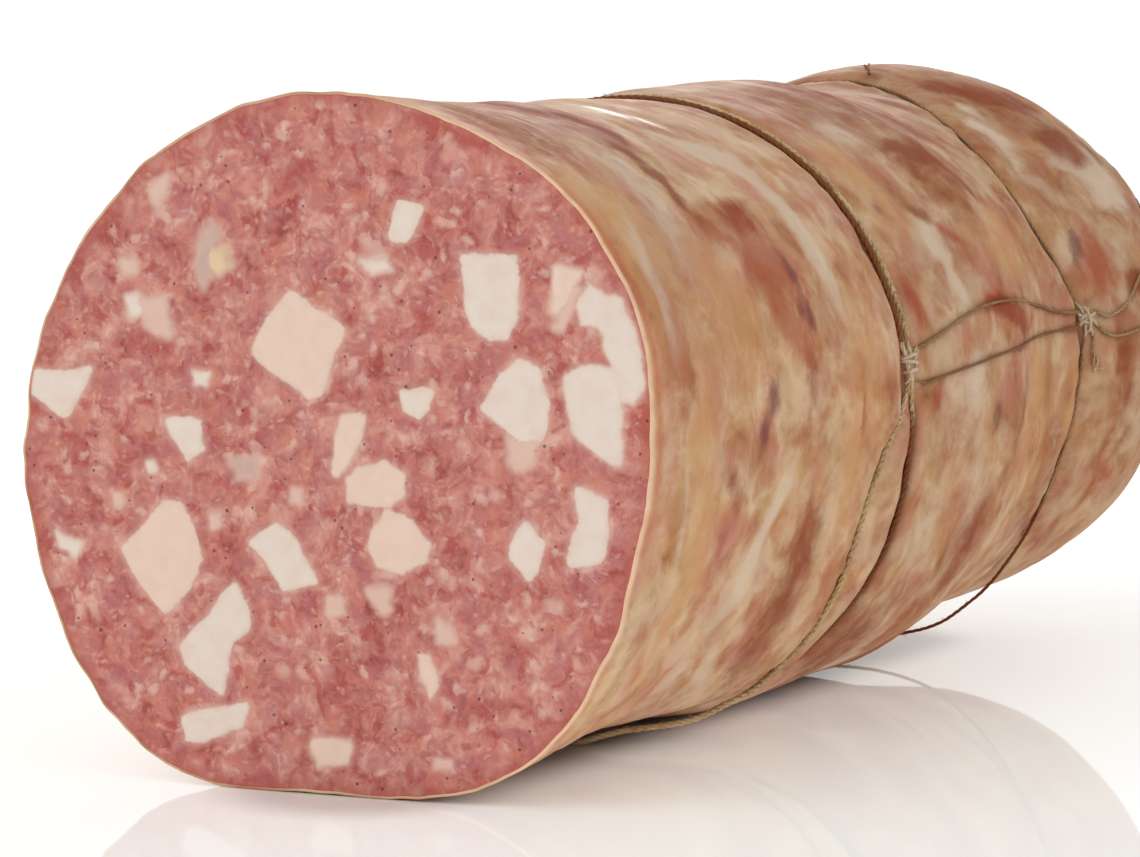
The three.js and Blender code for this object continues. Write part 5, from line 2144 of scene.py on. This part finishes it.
@dataclass
class Studio:
    """The table, the white surroundings, the soft lights and the camera."""

    placement: Placement
    camera_azimuth: float = 28.4
    camera_elevation: float = 5.3
    camera_distance: float = 578.0
    aim: Place = (39.3, 0.0, 57.3)
    focal_pixels: float = 4000.0
    picture_width: int = 1140
    sensor_width: float = 36.0
    table_size: float = 60.0
    # rest_from and rest_to bound the strip under the salami where the table's glow is painted out as a shadow
    rest_from: float = 4.0
    rest_to: float = 186.0
    surround_light: float = 0.7
    surround_seen: float = 1.25

    def directions(self) -> tuple[Vector, Vector, Vector]:
        """The camera's right, up and backward directions."""
        azimuth, elevation = math.radians(self.camera_azimuth), math.radians(self.camera_elevation)
        back = Vector((
            math.sin(azimuth) * math.cos(elevation), -math.cos(azimuth) * math.cos(elevation),
            math.sin(elevation),
        ))
        right = Vector((math.cos(azimuth), math.sin(azimuth), 0.0))
        return right, back.cross(right), back

    def build_camera(self) -> bpy.types.Object:
        """Sets up the camera as the picture was taken.

        Returns:
            The camera's object.
        """
        right, up, back = self.directions()
        aim = Vector(self.placement.metres(np.array(self.aim)))
        data = bpy.data.cameras.new("picture_camera")
        data.sensor_fit = "HORIZONTAL"
        data.sensor_width = self.sensor_width
        data.lens = self.focal_pixels * self.sensor_width / self.picture_width
        data.clip_end = 50.0
        camera = add_object("picture_camera", data)
        turn = Matrix((right, up, back)).transposed().to_4x4()
        spot = aim + back * self.camera_distance * MILLIMETRE
        camera.matrix_world = Matrix.Translation(spot) @ turn
        bpy.context.scene.camera = camera
        return camera

    def build_table(self, finish: LitTableFinish) -> bpy.types.Object:
        """Lays the table under the salami.

        Args:
            finish: Its finish.

        Returns:
            The table's object.
        """
        sheet = bmesh.new()
        bmesh.ops.create_grid(sheet, x_segments=4, y_segments=4, size=0.5 * self.table_size)
        mesh = bpy.data.meshes.new("white_table")
        sheet.to_mesh(mesh)
        sheet.free()
        middle = self.placement.metres(np.array([0.0, 0.5 * (self.rest_from + self.rest_to), 0.0]))
        half_length = 0.5 * (self.rest_to - self.rest_from) * MILLIMETRE
        mesh.materials.append(finish.material((middle[0], middle[1]), half_length))
        table = add_object("white_table", mesh)
        return table

    def build_surroundings(self) -> None:
        """White all round, a little brighter to the eye and to mirrors than as a light."""
        world = bpy.data.worlds.new("white_surroundings")
        world.use_nodes = True
        world.node_tree.nodes.clear()
        node = partial(add_node, world.node_tree)
        path = node("LightPath", output="Is Camera Ray")
        seen = node("Math", {0: path, 1: path.node.outputs["Is Glossy Ray"]}, operation="MAXIMUM")
        brightness = {"Value": seen, "To Min": self.surround_light, "To Max": self.surround_seen}
        strength = node("MapRange", brightness)
        ground = node("Background", {"Color": (1, 1, 1, 1), "Strength": strength})
        node("OutputWorld", {"Surface": ground})
        bpy.context.scene.world = world
        bpy.context.scene.view_settings.view_transform = "Standard"

    def build_light(self, name: str, kind: str, spot: Place, **settings: float) -> bpy.types.Object:
        """Hangs one light that faces the salami.

        Args:
            name: Its name.
            kind: Blender's name for the kind of light.
            spot: Where it hangs or comes from, in metres in the row frame.
            **settings: The light's own properties.

        Returns:
            The light's object.
        """
        data = bpy.data.lights.new(name, kind)
        for key, value in settings.items():
            setattr(data, key, value)
        light = add_object(name, data)
        light.location = spot
        light.rotation_mode = "QUATERNION"
        light.rotation_quaternion = (Vector(LIT_POINT) - Vector(spot)).to_track_quat("-Z", "Y")
        return light

    def build(self, finish: LitTableFinish) -> None:
        """Builds everything round the salami.

        Args:
            finish: The table's finish.
        """
        self.build_camera()
        self.build_table(finish)
        self.build_surroundings()
        day_spread = math.radians(50.0)
        self.build_light("front_daylight", "SUN", (-0.35, -0.8, 0.8), angle=day_spread, energy=0.55)
        self.build_light("rear_soft_box", "AREA", (-0.45, 1.05, 0.45), size=0.3, energy=1.6)


def main() -> None:
    """Builds the scene piece by piece."""
    logging.basicConfig(level=logging.INFO, format="%(name)s: %(message)s")
    form = BodyForm()
    placement = Placement.from_frame(form.tuft_end, form.tail_drift)
    log.info("placement: %.2f, %.2f mm", placement.shift_x, placement.shift_y)
    Studio(placement).build(LitTableFinish())
    casing = SalamiCasing(form, placement)
    pieces = [casing.build(CookedCasingFinish()), CutFace(casing, placement).build(MinceFinish())]
    pieces += TwineWork(casing, placement).build(TwineFinish())
    total = 0
    for piece in pieces:
        triangles = sum(len(face.vertices) - 2 for face in piece.data.polygons)
        total += triangles
        log.info("%s: %d triangles", piece.name, triangles)
    log.info("all pieces: %d triangles", total)
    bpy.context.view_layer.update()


if __name__ == "__main__":
    main()
